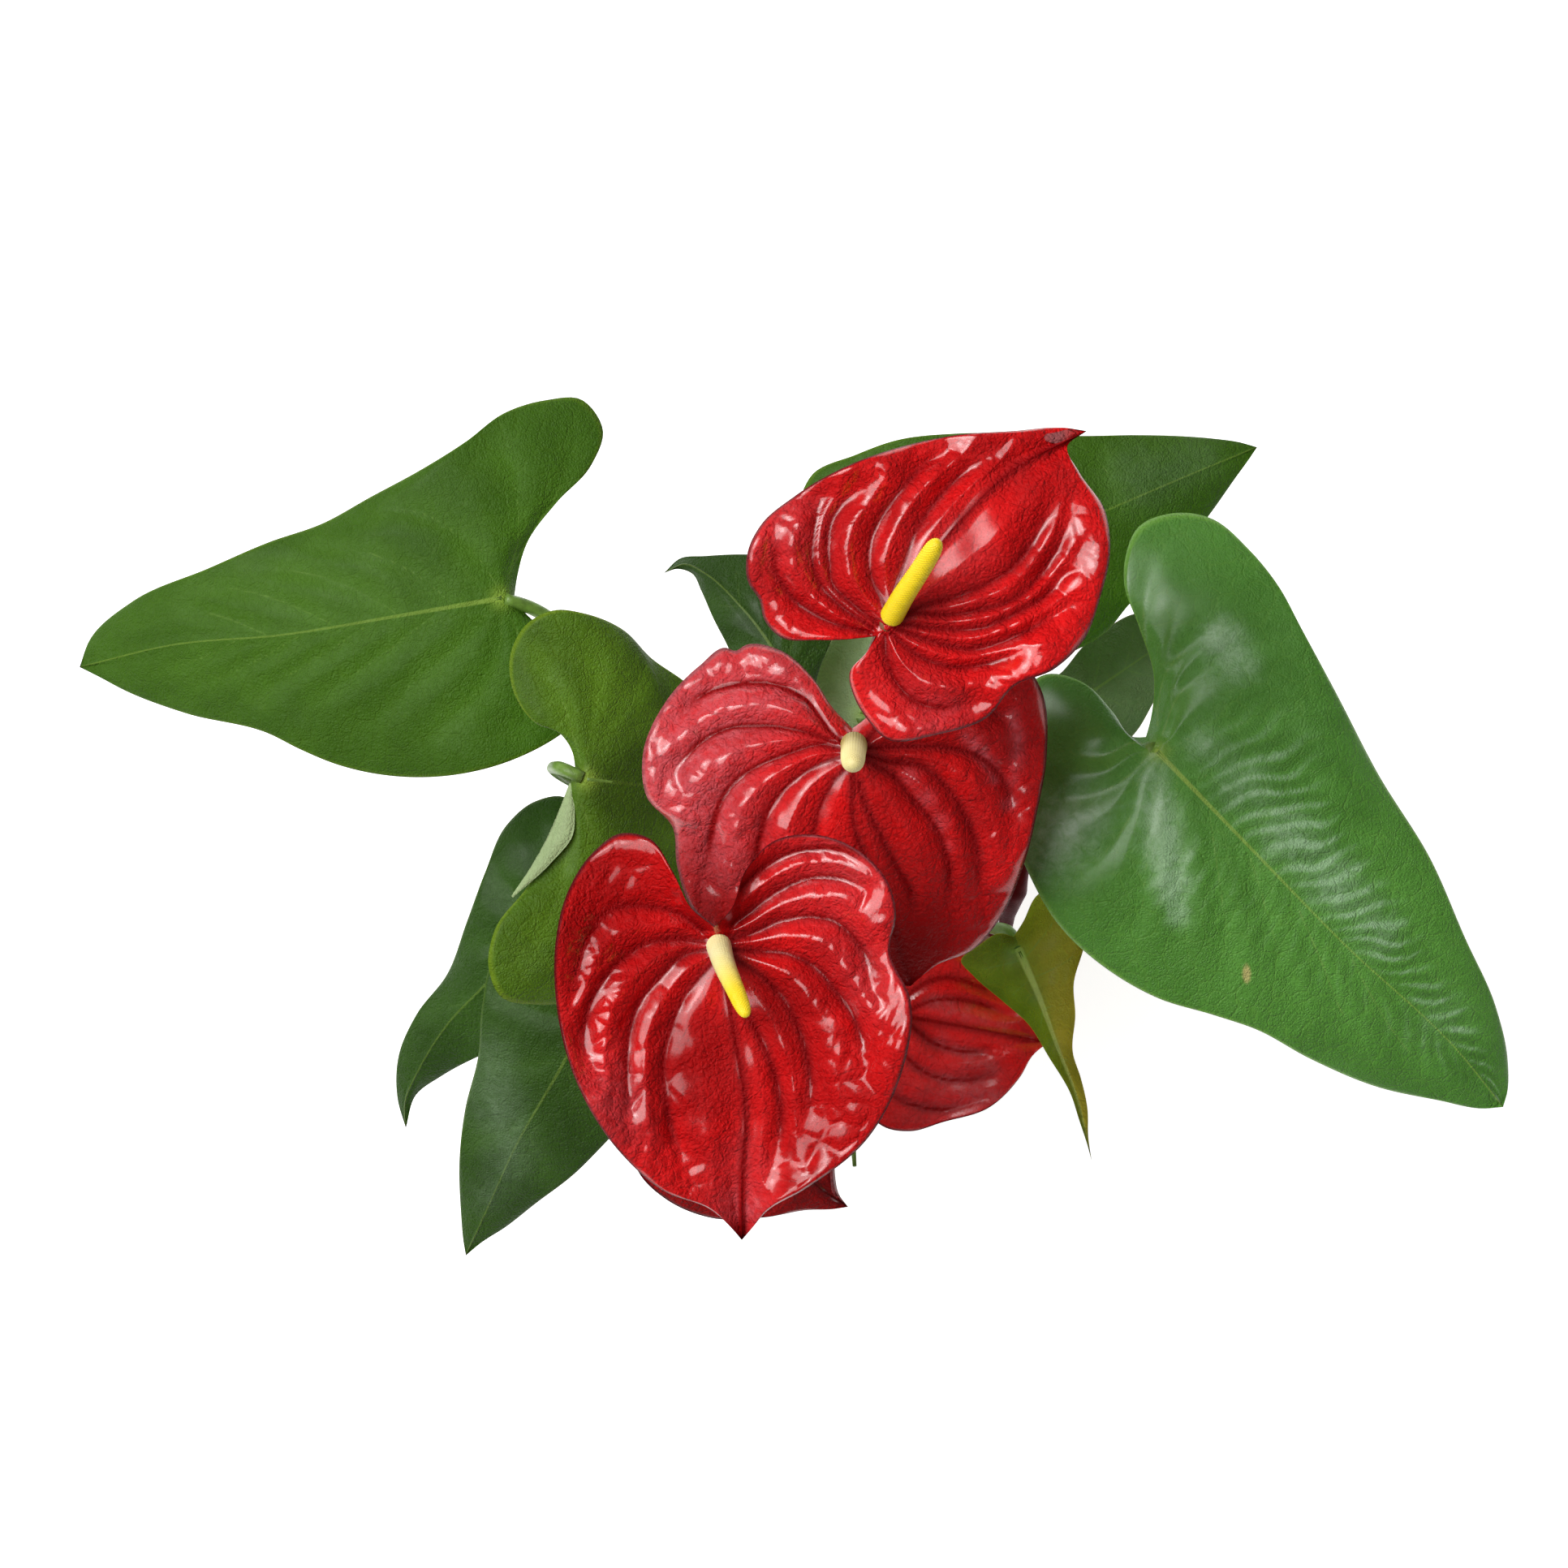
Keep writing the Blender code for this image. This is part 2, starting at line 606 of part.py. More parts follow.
def route_to_foot(route, pole_height, angle, ring):
    """The route in metres, carried on down into its hole in the soil. Its first height is over the pole."""
    pixels = np.array(route, float)
    if pole_height is not None:
        pixels[0, 2] += pole_height
    places = list(in_space(pixels[:, :2], pixels[:, 2]))
    x, y = foot_of(angle, ring)
    places.append(np.array([x, y, SOIL_TOP + STEM_BEND]))
    places.append(np.array([x, y, SOIL_TOP - HOLE_DEPTH / 2]))
    places.append(np.array([x, y, SOIL_TOP - HOLE_DEPTH + CLEARANCE]))
    return places


def make_leaf(blade, angle, route, colour):
    leaf = add_part(blade.name, blade_slab(blade, 0.0, blade.depth), colour)
    places = route_to_foot(route, blade.height, angle, OUTER_FEET)
    radii = [PETIOLE_RADIUS * share for share in PETIOLE_TAPER]
    petiole = add_helper(blade.name + "_petiole", stem_mesh(blade.name, places, radii, 11))
    add_boolean(leaf, petiole, "UNION")


def make_bloom(blade, angle, route):
    add_part(blade.name, blade_slab(blade, 0.0, blade.depth), "spathe")
    places = route_to_foot(route, blade.height, angle, INNER_FEET)
    radii = [STALK_RADIUS * share for share in STALK_TAPER]
    name = blade.name.replace("spathe", "stalk")
    stalk = add_part(name, stem_mesh(name, places, radii, 12), "stalk")
    cutter = add_helper(name + "_cutter", blade_slab(blade, OVER_SPATHE, blade.depth + CLEARANCE))
    add_boolean(stalk, cutter, "DIFFERENCE")


def make_spadix(name, blade, centreline, base_radius, end_radius):
    """A pebbled finger: rings round a bent centreline, with every second corner raised as a floret."""
    pixels = np.array(centreline, float)
    pixels[:, 2] += blade.height
    places = in_space(pixels[:, :2], pixels[:, 2])
    body = bmesh.new()
    bmesh.ops.create_grid(body, x_segments=SPADIX_RINGS, y_segments=SPADIX_SIDES, size=0.5)
    along = np.clip([corner.co.x + 0.5 for corner in body.verts], 0, 1)
    turn = np.array([corner.co.y for corner in body.verts]) * 2 * np.pi
    middle = smooth_curve(places, along)
    before, after = np.maximum(along - 0.01, 0), np.minimum(along + 0.01, 1)
    ahead = smooth_curve(places, after) - smooth_curve(places, before)
    ahead /= np.linalg.norm(ahead, axis=1)[:, None]
    side = np.cross(ahead, (0.83, 0.55, 0.0))
    side /= np.linalg.norm(side, axis=1)[:, None]
    other = np.cross(ahead, side)
    rounded = np.sqrt(np.clip(1 - np.abs(2 * along - 1) ** 7, 0, 1))
    odd = (np.rint(along * SPADIX_RINGS) + np.rint((turn / (2 * np.pi) + 0.5) * SPADIX_SIDES)) % 2
    radius = (base_radius + (end_radius - base_radius) * along) / 1000 * rounded + FLORET * odd * rounded
    surface = middle + radius[:, None] * (np.cos(turn)[:, None] * side + np.sin(turn)[:, None] * other)
    for corner, place in zip(body.verts, surface):
        corner.co = place
    bmesh.ops.remove_doubles(body, verts=body.verts, dist=1e-5)
    spadix = add_part(name, closed_mesh(body, name), "spadix")
    cutter = add_helper(name + "_cutter", blade_slab(blade, CLEARANCE, UNDER_SPATHE))
    add_boolean(spadix, cutter, "DIFFERENCE")


def make_rolled_leaf():
    angle, route = ROLLED_LEAF
    places = route_to_foot(route[::-1], None, angle, OUTER_FEET)[::-1]
    add_part("leaf_rolled", stem_mesh("leaf_rolled", places, ROLLED_RADII, 12), "leaf")


def make_bud():
    angle, route = BUD
    places = route_to_foot(route[::-1], None, angle, INNER_FEET)[::-1]
    add_part("bud", stem_mesh("bud", places, BUD_RADII, 16), "bud")


def turned(name, profile, colour, steps):
    """A profile of radius and height, turned round the pot's axis. It runs down the outer side."""
    outline = bpy.data.meshes.new(name)
    edges = [(i, i + 1) for i in range(len(profile) - 1)]
    outline.from_pydata([(radius, 0.0, height) for radius, height in profile], edges, [])
    part = add_part(name, outline, colour)
    screw = part.modifiers.new("turn", "SCREW")
    screw.steps = steps
    screw.render_steps = steps
    screw.use_merge_vertices = True
    screw.merge_threshold = 1e-5
    return part


def drill(part, name, holes, segments):
    """Cuts upright round holes, each given by its x, y, radius, lowest and highest point."""
    drills = bmesh.new()
    for x, y, radius, low, high in holes:
        bit = bmesh.ops.create_cone(
            drills, cap_ends=True, segments=segments, radius1=radius, radius2=radius, depth=high - low
        )
        bmesh.ops.translate(drills, verts=bit["verts"], vec=(x, y, (low + high) / 2))
    add_boolean(part, add_helper(name, closed_mesh(drills, name)), "DIFFERENCE")


def inner_radius(height):
    """The inside of the pot's sloping wall at a height."""
    top = POT_RIM_RADIUS - RIM_STEP - POT_WALL
    return POT_BASE_RADIUS - POT_WALL + (top - POT_BASE_RADIUS + POT_WALL) * height / POT_HEIGHT


def make_pot():
    edge, fillet = POT_EDGE, POT_FILLET
    shoulder = POT_HEIGHT - RIM_DEPTH
    profile = [
        (0.0, POT_WALL),
        (inner_radius(POT_WALL) - fillet, POT_WALL),
        (inner_radius(POT_WALL + fillet), POT_WALL + fillet),
        (inner_radius(POT_HEIGHT - edge), POT_HEIGHT - edge),
        (inner_radius(POT_HEIGHT) + edge, POT_HEIGHT),
        (POT_RIM_RADIUS - edge, POT_HEIGHT),
        (POT_RIM_RADIUS, POT_HEIGHT - edge),
        (POT_RIM_RADIUS - 2 * edge, shoulder),
        (inner_radius(shoulder) + POT_WALL, shoulder),
        (inner_radius(fillet) + POT_WALL, fillet),
        (POT_BASE_RADIUS - fillet, 0.0),
        (0.0, 0.0),
    ]
    pot = turned("pot", profile, "pot", TURN_STEPS)
    angles = [2 * math.pi * k / DRAIN_HOLES for k in range(DRAIN_HOLES)]
    holes = [
        (DRAIN_RING * math.cos(a), DRAIN_RING * math.sin(a), DRAIN_RADIUS, -POT_WALL, 3 * POT_WALL)
        for a in angles
    ]
    drill(pot, "drain_holes", holes, 10)


def make_soil():
    floor = POT_WALL + CLEARANCE
    fillet = SOIL_FILLET
    profile = [
        (0.0, SOIL_TOP + SOIL_CROWNING),
        (0.6 * POT_RIM_RADIUS, SOIL_TOP + 0.6 * SOIL_CROWNING),
        (inner_radius(SOIL_TOP) - CLEARANCE, SOIL_TOP - SOIL_CROWNING),
        (inner_radius(floor + fillet) - CLEARANCE, floor + fillet),
        (inner_radius(floor) - fillet, floor),
        (0.0, floor),
    ]
    soil = turned("soil", profile, "soil", TURN_STEPS)
    bottom, above = SOIL_TOP - HOLE_DEPTH, SOIL_TOP + STEM_HOLE_REACH
    feet = [(angle, OUTER_FEET, PETIOLE_RADIUS) for _, angle, _ in LEAF_STEMS]
    feet += [(angle, INNER_FEET, STALK_RADIUS) for _, angle, _ in BLOOMS]
    feet += [(ROLLED_LEAF[0], OUTER_FEET, PETIOLE_RADIUS), (BUD[0], INNER_FEET, STALK_RADIUS)]
    holes = [(*foot_of(angle, ring), radius + STEM_HOLE_GAP, bottom, above) for angle, ring, radius in feet]
    holes.append((0.0, 0.0, CROWN_RADIUS + STEM_HOLE_GAP, bottom, above))
    drill(soil, "stem_holes", holes, 9)


def make_crown():
    """The short upright rhizome, ringed with old leaf scars."""
    base = SOIL_TOP - HOLE_DEPTH + CLEARANCE
    rings = [(0.30, 1.0), (0.62, 0.93), (0.80, 0.72), (0.78, 0.62), (0.93, 0.52), (0.95, 0.36),
             (0.88, 0.28)]
    profile = [(0.0, SOIL_TOP + CROWN_HEIGHT)]
    profile += [(CROWN_RADIUS * wide, SOIL_TOP + CROWN_HEIGHT * high) for wide, high in rings]
    profile += [(CROWN_RADIUS, SOIL_TOP), (CROWN_RADIUS, base), (0.0, base)]
    turned("crown", profile, "crown", 12)


clear_scene()
PLANT = new_collection("potted_flamingo_flower")
CUTTERS = new_collection("cutters")
make_pot()
make_soil()
make_crown()
for blade, angle, route in LEAF_STEMS:
    tint = {"leaf_left_curled": "leaf_curled", "leaf_young_bronze": "leaf_young"}.get(blade.name, "leaf")
    make_leaf(blade, angle, route, tint)
for blade, angle, route in BLOOMS:
    make_bloom(blade, angle, route)
for spadix in SPADICES:
    make_spadix(*spadix)
make_rolled_leaf()
make_bud()
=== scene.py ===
"""The looks of a potted flamingo flower, laid out as a Blender add-on and run as a script.

Metres, +Z up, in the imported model's frame: the origin is the middle of the pot's base. Every piece is a
surface worked out with numpy, stands for one CAD node and rides on the body "root".
"""

import math
from dataclasses import dataclass

import bpy
import numpy as np
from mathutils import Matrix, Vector


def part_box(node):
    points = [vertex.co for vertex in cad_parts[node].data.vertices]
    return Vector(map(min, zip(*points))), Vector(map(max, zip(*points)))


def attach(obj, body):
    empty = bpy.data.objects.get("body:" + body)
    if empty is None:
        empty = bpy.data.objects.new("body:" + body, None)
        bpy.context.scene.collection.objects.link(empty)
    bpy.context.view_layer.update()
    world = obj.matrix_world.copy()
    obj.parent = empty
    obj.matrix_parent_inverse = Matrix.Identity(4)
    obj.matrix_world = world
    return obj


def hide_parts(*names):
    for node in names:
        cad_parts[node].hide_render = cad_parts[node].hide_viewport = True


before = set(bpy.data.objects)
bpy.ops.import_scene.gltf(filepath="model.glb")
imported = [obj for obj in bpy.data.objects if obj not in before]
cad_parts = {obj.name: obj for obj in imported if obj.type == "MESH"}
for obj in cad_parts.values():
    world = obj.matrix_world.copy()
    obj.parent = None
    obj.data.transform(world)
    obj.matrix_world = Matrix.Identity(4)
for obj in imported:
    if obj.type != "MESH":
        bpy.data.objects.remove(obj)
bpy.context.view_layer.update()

bl_info = {
    "name": "Potted Flamingo Flower",
    "version": (1, 0, 0),
    "blender": (4, 5, 0),
    "location": "3D View > Sidebar > Flamingo Flower",
    "description": "Builds the leaves, blooms, stalks, soil and pot of a potted flamingo flower",
    "category": "Add Mesh",
}

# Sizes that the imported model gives
SPREAD = 0.387
POT_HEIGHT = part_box("pot")[1][2]
POT_RIM_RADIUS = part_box("pot")[1][0]
SOIL_CROWNING = 0.002
SOIL_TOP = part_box("soil")[1][2] - SOIL_CROWNING
CROWN_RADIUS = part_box("crown")[1][0]

# The pot's and the stems' other sizes, as in the solids
POT_BASE_RADIUS = 0.0435
POT_WALL = 0.0016
RIM_DEPTH = 0.014
RIM_STEP = 0.0025
DRAIN_RADIUS = 0.0045
DRAIN_RING = 0.028
DRAIN_HOLES = 6
CLEARANCE = 0.0003
LEAF_DEPTH = 0.00095
SPATHE_DEPTH = 0.0014
HOLE_DEPTH = 0.018
INNER_FEET = 0.0125
OUTER_FEET = 0.0215
CROWN_HEIGHT = 0.012
ROLLED_RADII = (0.0018, 0.0018, 0.0020, 0.0021, 0.0014, 0.0006)
BUD_RADII = (0.0022,) * 11 + (0.0020, 0.0022, 0.0036, 0.0012)

# The overhead view that the outlines were read from, in its own pixels
VIEW_PIXELS = 1932
SPREAD_PIXELS = 1760
PIXEL = SPREAD / SPREAD_PIXELS
POT_AXIS = (1020, 1030)
VIEW_CENTRE = (966, 966)
EYE_HEIGHT = 1.90
TRUE_SCALE_HEIGHT = 0.30
SENSOR = 36.0

# How finely the spadices are drawn, and their florets' spirals, round them and along them
SPADIX_RINGS = 170
SPADIX_SIDES = 84
FLORET_SPIRALS = (14, 40)

# A swelling's reach from its vein in millimetres, the share of the relief that is sunken, and how far a
# vein's groove has run out at its end
SWELLING_REACH = 4.4
SUNKEN_SHARE = 0.5
VEIN_FADE = 4.0
GROOVE_ROUNDING = 0.7

# Wrinkles that cross a blade beside its midrib, over the midrib's length
CROSS_RIBS = 12.5

# The grid and the thickness of a margin that has rolled over
FOLD_ROWS = 40
FOLD_COLUMNS = 12
FOLD_DEPTH = 0.0006

# The narrowest ring of a stem or spadix, just inside its closed ends
LEAST_RADIUS = 0.0001

# Rings along each kind of stem and sides round it
STEM_GRIDS = {"petiole": (90, 20), "stalk": (110, 24), "rolled": (120, 36), "bud": (150, 36), "rib": (40, 10)}

# Shares of a stem's radius, from its blade down to its foot
PETIOLE_TAPER = (0.85, 0.8, 0.9, 1.0, 1.0)
STALK_TAPER = (0.82, 0.85, 1.0, 1.0)

# The rib under a leaf, at its pole and near its tip, and the place of the stem's material in a leaf
UNDER_RIB_RADII = (0.0011, 0.0003)
STEM_FINISH = 1


@dataclass
class Blade:
    """A heart-shaped leaf or spathe. Outlines and veins are in view pixels, heights in millimetres.

    Each patch is a place in view pixels, its radius, and how strong its painted sheen is, or its painted
    shade if below 0.
    Each scar is a place in view pixels, its width and its height. pucker is the height of the pillows
    between the veins, and crossing that of the wrinkles beside the midrib.
    """

    name: str
    pole: tuple
    notch: tuple
    tip: tuple
    left: list
    right: list
    height: float
    pitch: float = 0.0
    sag: float = 0.0
    roll: float = 0.0
    cup: float = 0.0
    wave: float = 0.0
    waves: float = 3.0
    phase: float = 0.0
    puff: float = 0.6
    veins: tuple = (0.0, 0.16, 0.34, 0.52, 0.72, 1.0)
    sweep: float = 0.12
    turn: float = 30.0
    midrib: tuple = ()
    crowding: float = 2.2
    rows: int = 90
    columns: int = 28
    depth: float = LEAF_DEPTH
    drawn_veins: tuple = ()
    crossing: float = 0.0
    crossing_side: float = -1.0
    pucker: float = 0.0
    pucker_size: float = 22.0
    tint: str = "leaf_green"
    tone: float = 1.0
    patches: tuple = ()
    scars: tuple = ()


SPATHE_FRONT = Blade(
    name="spathe_front",
    pole=(886, 1164),
    notch=(880, 1142),
    tip=(914, 1528),
    left=[
        (852, 1119), (829, 1074), (800, 1033), (764, 1027), (732, 1049), (699, 1100), (685, 1157),
        (685, 1233), (707, 1325), (764, 1420), (817, 1467), (878, 1492), (903, 1515),
    ],
    right=[
        (899, 1123), (920, 1070), (954, 1036), (1000, 1028), (1053, 1045), (1093, 1085), (1104, 1127),
        (1096, 1169), (1122, 1233), (1110, 1325), (1068, 1404), (992, 1465), (943, 1494), (926, 1514),
    ],
    midrib=((901, 1256), (918, 1370), (914, 1450)),
    height=342, pitch=0.02, sag=-12, cup=7, wave=2.2, waves=3.5, puff=4.6, pucker=1.0, pucker_size=27,
    patches=((1040, 1078, 75, 0.35), (1085, 1210, 50, 0.3), (760, 1350, 60, 0.45), (915, 1497, 30, 1.0),
             (912, 1512, 22, -0.5), (745, 1095, 95, -0.75), (868, 1290, 60, -0.8), (840, 1345, 40, -0.4),
             (980, 1250, 45, -0.4), (1000, 1395, 50, -0.6), (1065, 1350, 50, -0.35), (930, 1430, 40, 0.3)),
    rows=190, columns=60, depth=SPATHE_DEPTH,
    drawn_veins=(
        ((866, 1146), (832, 1123), (802, 1117), (752, 1121), (726, 1153), (713, 1188), (700, 1250)),
        ((868, 1160), (821, 1157), (791, 1165), (764, 1184), (737, 1218), (722, 1252), (720, 1294),
         (732, 1332)),
        ((872, 1170), (844, 1176), (814, 1203), (787, 1237), (776, 1271), (772, 1313), (774, 1355),
         (783, 1400)),
        ((880, 1185), (863, 1203), (840, 1233), (825, 1271), (817, 1309), (821, 1355), (829, 1400),
         (850, 1450)),
        ((905, 1100), (939, 1070), (973, 1051), (1015, 1045), (1049, 1051), (1080, 1078)),
        ((902, 1138), (924, 1123), (954, 1100), (985, 1085), (1030, 1081), (1053, 1087), (1078, 1110)),
        ((904, 1156), (924, 1150), (962, 1134), (1000, 1129), (1026, 1134), (1053, 1157), (1072, 1192),
         (1084, 1228)),
        ((900, 1170), (930, 1172), (973, 1176), (1004, 1192), (1030, 1222), (1053, 1256), (1064, 1294),
         (1066, 1340)),
        ((905, 1180), (939, 1203), (966, 1233), (985, 1271), (996, 1313), (998, 1351), (990, 1400)),
        ((910, 1225), (924, 1256), (943, 1294), (958, 1340), (962, 1385), (950, 1440)),
    ),
)

SPATHE_MIDDLE = Blade(
    name="spathe_middle",
    pole=(1052, 925),
    notch=(1050, 897),
    tip=(1122, 1215),
    left=[
        (1027, 873), (1001, 835), (961, 801), (918, 795), (906, 802), (895, 798), (862, 820), (818, 868),
        (792, 930), (797, 982), (829, 1020), (834, 1066), (854, 1121), (880, 1143), (925, 1165), (990, 1192),
        (1060, 1212),
    ],
    right=[
        (1066, 885), (1088, 852), (1120, 815), (1165, 795), (1215, 793), (1258, 812), (1283, 850),
        (1290, 927), (1278, 1000), (1260, 1070), (1232, 1132), (1199, 1170), (1151, 1191), (1133, 1205),
    ],
    midrib=((1052, 1018), (1085, 1100)),
    height=322, pitch=-0.10, sag=-16, cup=-8, wave=2.0, waves=3.0, phase=1.0, puff=4.4, pucker=1.2,
    pucker_size=30,
    patches=((860, 870, 90, 1.0), (830, 965, 70, 1.0), (890, 1050, 60, 0.7), (960, 835, 60, 0.6),
             (1160, 1120, 72, -0.65), (1115, 1195, 55, -0.9), (1120, 958, 13, 0.8), (1140, 984, 13, 0.9),
             (1156, 1014, 13, 0.8), (1168, 1044, 11, 0.6), (1190, 906, 8, 0.8), (1201, 917, 9, 1.0),
             (1211, 929, 9, 1.0), (1220, 943, 9, 1.0), (1226, 959, 8, 0.8), (1248, 880, 8, 0.9),
             (1252, 895, 8, 1.0), (1254, 911, 8, 1.0), (1254, 928, 8, 1.0), (1252, 945, 8, 0.9),
             (1249, 962, 7, 0.8), (1244, 990, 9, 0.7), (1100, 1000, 50, -0.3)),
    rows=190, columns=60, depth=SPATHE_DEPTH,
    drawn_veins=(
        ((1038, 915), (1027, 905), (990, 860), (960, 845), (909, 843), (880, 850), (854, 864), (832, 886),
         (818, 908)),
        ((1030, 915), (997, 903), (968, 897), (931, 894), (898, 897), (873, 908), (847, 930), (830, 956),
         (827, 985)),
        ((1036, 922), (1008, 917), (975, 927), (939, 941), (913, 956), (891, 982), (880, 1011), (873, 1050),
         (880, 1110)),
        ((1040, 932), (1019, 938), (990, 952), (964, 974), (946, 1000), (935, 1037), (935, 1090),
         (950, 1150)),
        ((1044, 945), (1027, 963), (1008, 1000), (1002, 1050), (1012, 1110), (1035, 1165)),
        ((1064, 936), (1074, 941), (1100, 956), (1122, 982), (1144, 1007), (1159, 1033), (1170, 1080),
         (1160, 1150)),
        ((1066, 930), (1093, 938), (1137, 945), (1166, 971), (1190, 1007), (1206, 1060), (1200, 1120)),
        ((1066, 922), (1082, 921), (1122, 920), (1170, 922), (1208, 934), (1240, 970), (1250, 1030)),
        ((1068, 912), (1095, 880), (1140, 862), (1190, 862), (1235, 885), (1262, 920)),
        ((1058, 965), (1063, 985), (1085, 1030), (1100, 1060), (1122, 1100), (1128, 1150)),
    ),
)

SPATHE_TOP = Blade(
    name="spathe_top",
    pole=(1096, 766),
    notch=(1079, 784),
    tip=(1339, 531),
    left=[
        (1053, 787), (1009, 789), (960, 784), (941, 762), (936, 740), (922, 718), (922, 677), (938, 646),
        (978, 612), (1053, 570), (1108, 551), (1179, 536), (1247, 531), (1312, 527),
    ],
    right=[
        (1068, 803), (1047, 828), (1053, 860), (1067, 884), (1091, 910), (1155, 905), (1216, 884),
        (1250, 845), (1298, 825), (1335, 789), (1356, 735), (1368, 677), (1361, 628), (1330, 582),
        (1315, 550),
    ],
    midrib=((1182, 643), (1247, 580)),
    height=382, pitch=0.06, sag=-12, cup=-2, wave=2.4, waves=4.0, phase=0.5, puff=4.6, pucker=0.8,
    pucker_size=30,
    tone=1.08, patches=((1110, 850, 45, 0.12), (950, 650, 60, 0.35), (1180, 690, 60, 0.2),
                        (1155, 888, 35, 0.4), (1270, 590, 70, -0.35)),
    rows=190, columns=60, depth=SPATHE_DEPTH,
    drawn_veins=(
        ((1082, 770), (1043, 738), (1026, 721), (1021, 697), (1019, 670), (1024, 643), (1040, 619),
         (1075, 590)),
        ((1075, 774), (1029, 741), (1009, 718), (1000, 690), (1002, 656), (1008, 628), (1030, 598)),
        ((1072, 780), (1020, 765), (975, 735), (955, 700), (958, 665), (975, 640)),
        ((1092, 750), (1070, 700), (1074, 660), (1091, 629), (1114, 599), (1142, 571), (1180, 552)),
        ((1100, 745), (1112, 700), (1128, 655), (1155, 615), (1190, 580), (1230, 556)),
        ((1106, 762), (1125, 752), (1179, 735), (1230, 711), (1250, 697), (1268, 673), (1288, 640),
         (1300, 600)),
        ((1106, 766), (1121, 757), (1162, 758), (1213, 750), (1250, 738), (1280, 710), (1305, 670),
         (1318, 620)),
        ((1104, 770), (1114, 770), (1162, 775), (1213, 772), (1257, 752), (1291, 731), (1315, 701),
         (1332, 673)),
        ((1102, 774), (1145, 789), (1196, 799), (1237, 789), (1281, 769), (1320, 740)),
        ((1098, 780), (1128, 806), (1179, 822), (1230, 814), (1270, 800)),
        ((1090, 784), (1092, 810), (1104, 840), (1125, 862), (1165, 872), (1205, 862)),
    ),
)

SPATHE_LOWER_RIGHT = Blade(
    name="spathe_lower_right",
    pole=(1104, 1250),
    notch=(1086, 1247),
    tip=(1292, 1284),
    left=[
        (1072, 1225), (1076, 1190), (1100, 1165), (1145, 1156), (1190, 1168), (1240, 1207), (1272, 1250),
    ],
    right=[
        (1071, 1268), (1060, 1300), (1060, 1335), (1068, 1370), (1090, 1389), (1121, 1394), (1161, 1383),
        (1220, 1364), (1257, 1327), (1273, 1300),
    ],
    height=200, pitch=0.10, sag=-1, cup=-3, wave=1.2, puff=2.2,
    # tone 1.6 is painted light: it brightens this spathe, which lies in the shade of the spathes above it
    tone=1.6,
    patches=((1160, 1350, 60, 0.5), (1200, 1375, 30, 0.5), (1210, 1225, 40, -0.3), (1150, 1236, 11, 0.8),
             (1170, 1242, 12, 0.9), (1192, 1248, 12, 0.9), (1214, 1255, 11, 0.8), (1236, 1262, 10, 0.7),
             (1160, 1282, 10, 0.6), (1180, 1296, 12, 0.8), (1200, 1306, 12, 0.8), (1222, 1312, 11, 0.7),
             (1165, 1332, 10, 0.7), (1185, 1340, 11, 0.8), (1208, 1346, 11, 0.8), (1230, 1350, 10, 0.7)),
    depth=SPATHE_DEPTH,
    drawn_veins=(
        ((1108, 1240), (1121, 1225), (1160, 1205), (1205, 1215), (1245, 1240)),
        ((1116, 1246), (1154, 1232), (1200, 1235), (1250, 1256)),
        ((1110, 1262), (1118, 1303), (1134, 1318), (1156, 1328), (1188, 1331), (1218, 1325), (1247, 1311)),
        ((1098, 1268), (1090, 1320), (1101, 1349), (1124, 1361), (1154, 1367), (1198, 1360), (1228, 1346)),
        ((1120, 1262), (1150, 1285), (1190, 1296), (1235, 1293)),
    ),
)

SPATHE_BOTTOM = Blade(
    name="spathe_bottom",
    pole=(900, 1322),
    notch=(886, 1306),
    tip=(1045, 1487),
    left=[
        (855, 1300), (806, 1330), (775, 1385), (789, 1448), (821, 1478), (878, 1501), (943, 1500),
        (995, 1491), (1025, 1490),
    ],
    right=[
        (892, 1280), (930, 1266), (985, 1290), (1020, 1345), (1030, 1400), (1027, 1448), (1033, 1475),
    ],
    midrib=((960, 1400), (1012, 1466)),
    height=252, pitch=-0.18, sag=-6, cup=-2, wave=1.2, puff=1.6,
    # tone 0.55 darkens this spathe: partly the deeper red of an older spathe, partly painted shade from the
    # spathes over it
    tone=0.55,
    depth=SPATHE_DEPTH,
)

LEAF_FAR_LEFT = Blade(
    name="leaf_far_left",
    tint="leaf_warm",
    pole=(618, 737),
    notch=(633, 740),
    tip=(98, 822),
    left=[
        (637, 712), (649, 670), (686, 619), (728, 574), (743, 530), (716, 492), (672, 493), (621, 509),
        (574, 544), (518, 579), (457, 612), (397, 645), (331, 668), (257, 700), (163, 741), (110, 789),
    ],
    right=[
        (653, 761), (690, 790), (722, 840), (715, 885), (695, 902), (635, 935), (551, 956), (481, 956),
        (415, 942), (369, 923), (331, 904), (229, 879), (154, 851), (120, 833),
    ],
    midrib=((490, 759), (350, 782), (210, 795)),
    height=238, pitch=0.02, sag=-34, cup=-5, wave=2.0, waves=3.0, puff=1.2,
    rows=130, columns=40,
    drawn_veins=(
        ((612, 722), (597, 698), (565, 661), (527, 635), (490, 628), (440, 640)),
        ((626, 715), (639, 656), (637, 614), (625, 572), (600, 548)),
        ((630, 700), (660, 650), (690, 600), (705, 550), (700, 520)),
        ((560, 745), (500, 700), (440, 678), (380, 672)),
        ((490, 757), (430, 722), (360, 704), (300, 700)),
        ((410, 770), (350, 742), (290, 726), (235, 725)),
        ((330, 783), (280, 762), (225, 748)),
        ((604, 750), (583, 777), (537, 819), (500, 850), (467, 880), (430, 900)),
        ((618, 760), (616, 796), (593, 847), (550, 889), (515, 920)),
        ((630, 762), (650, 810), (655, 860), (640, 905)),
        ((530, 762), (480, 800), (430, 835), (380, 865)),
        ((450, 772), (400, 805), (345, 838), (300, 860)),
        ((370, 782), (320, 812), (270, 835), (225, 848)),
        ((290, 790), (245, 812), (200, 826)),
    ),
)

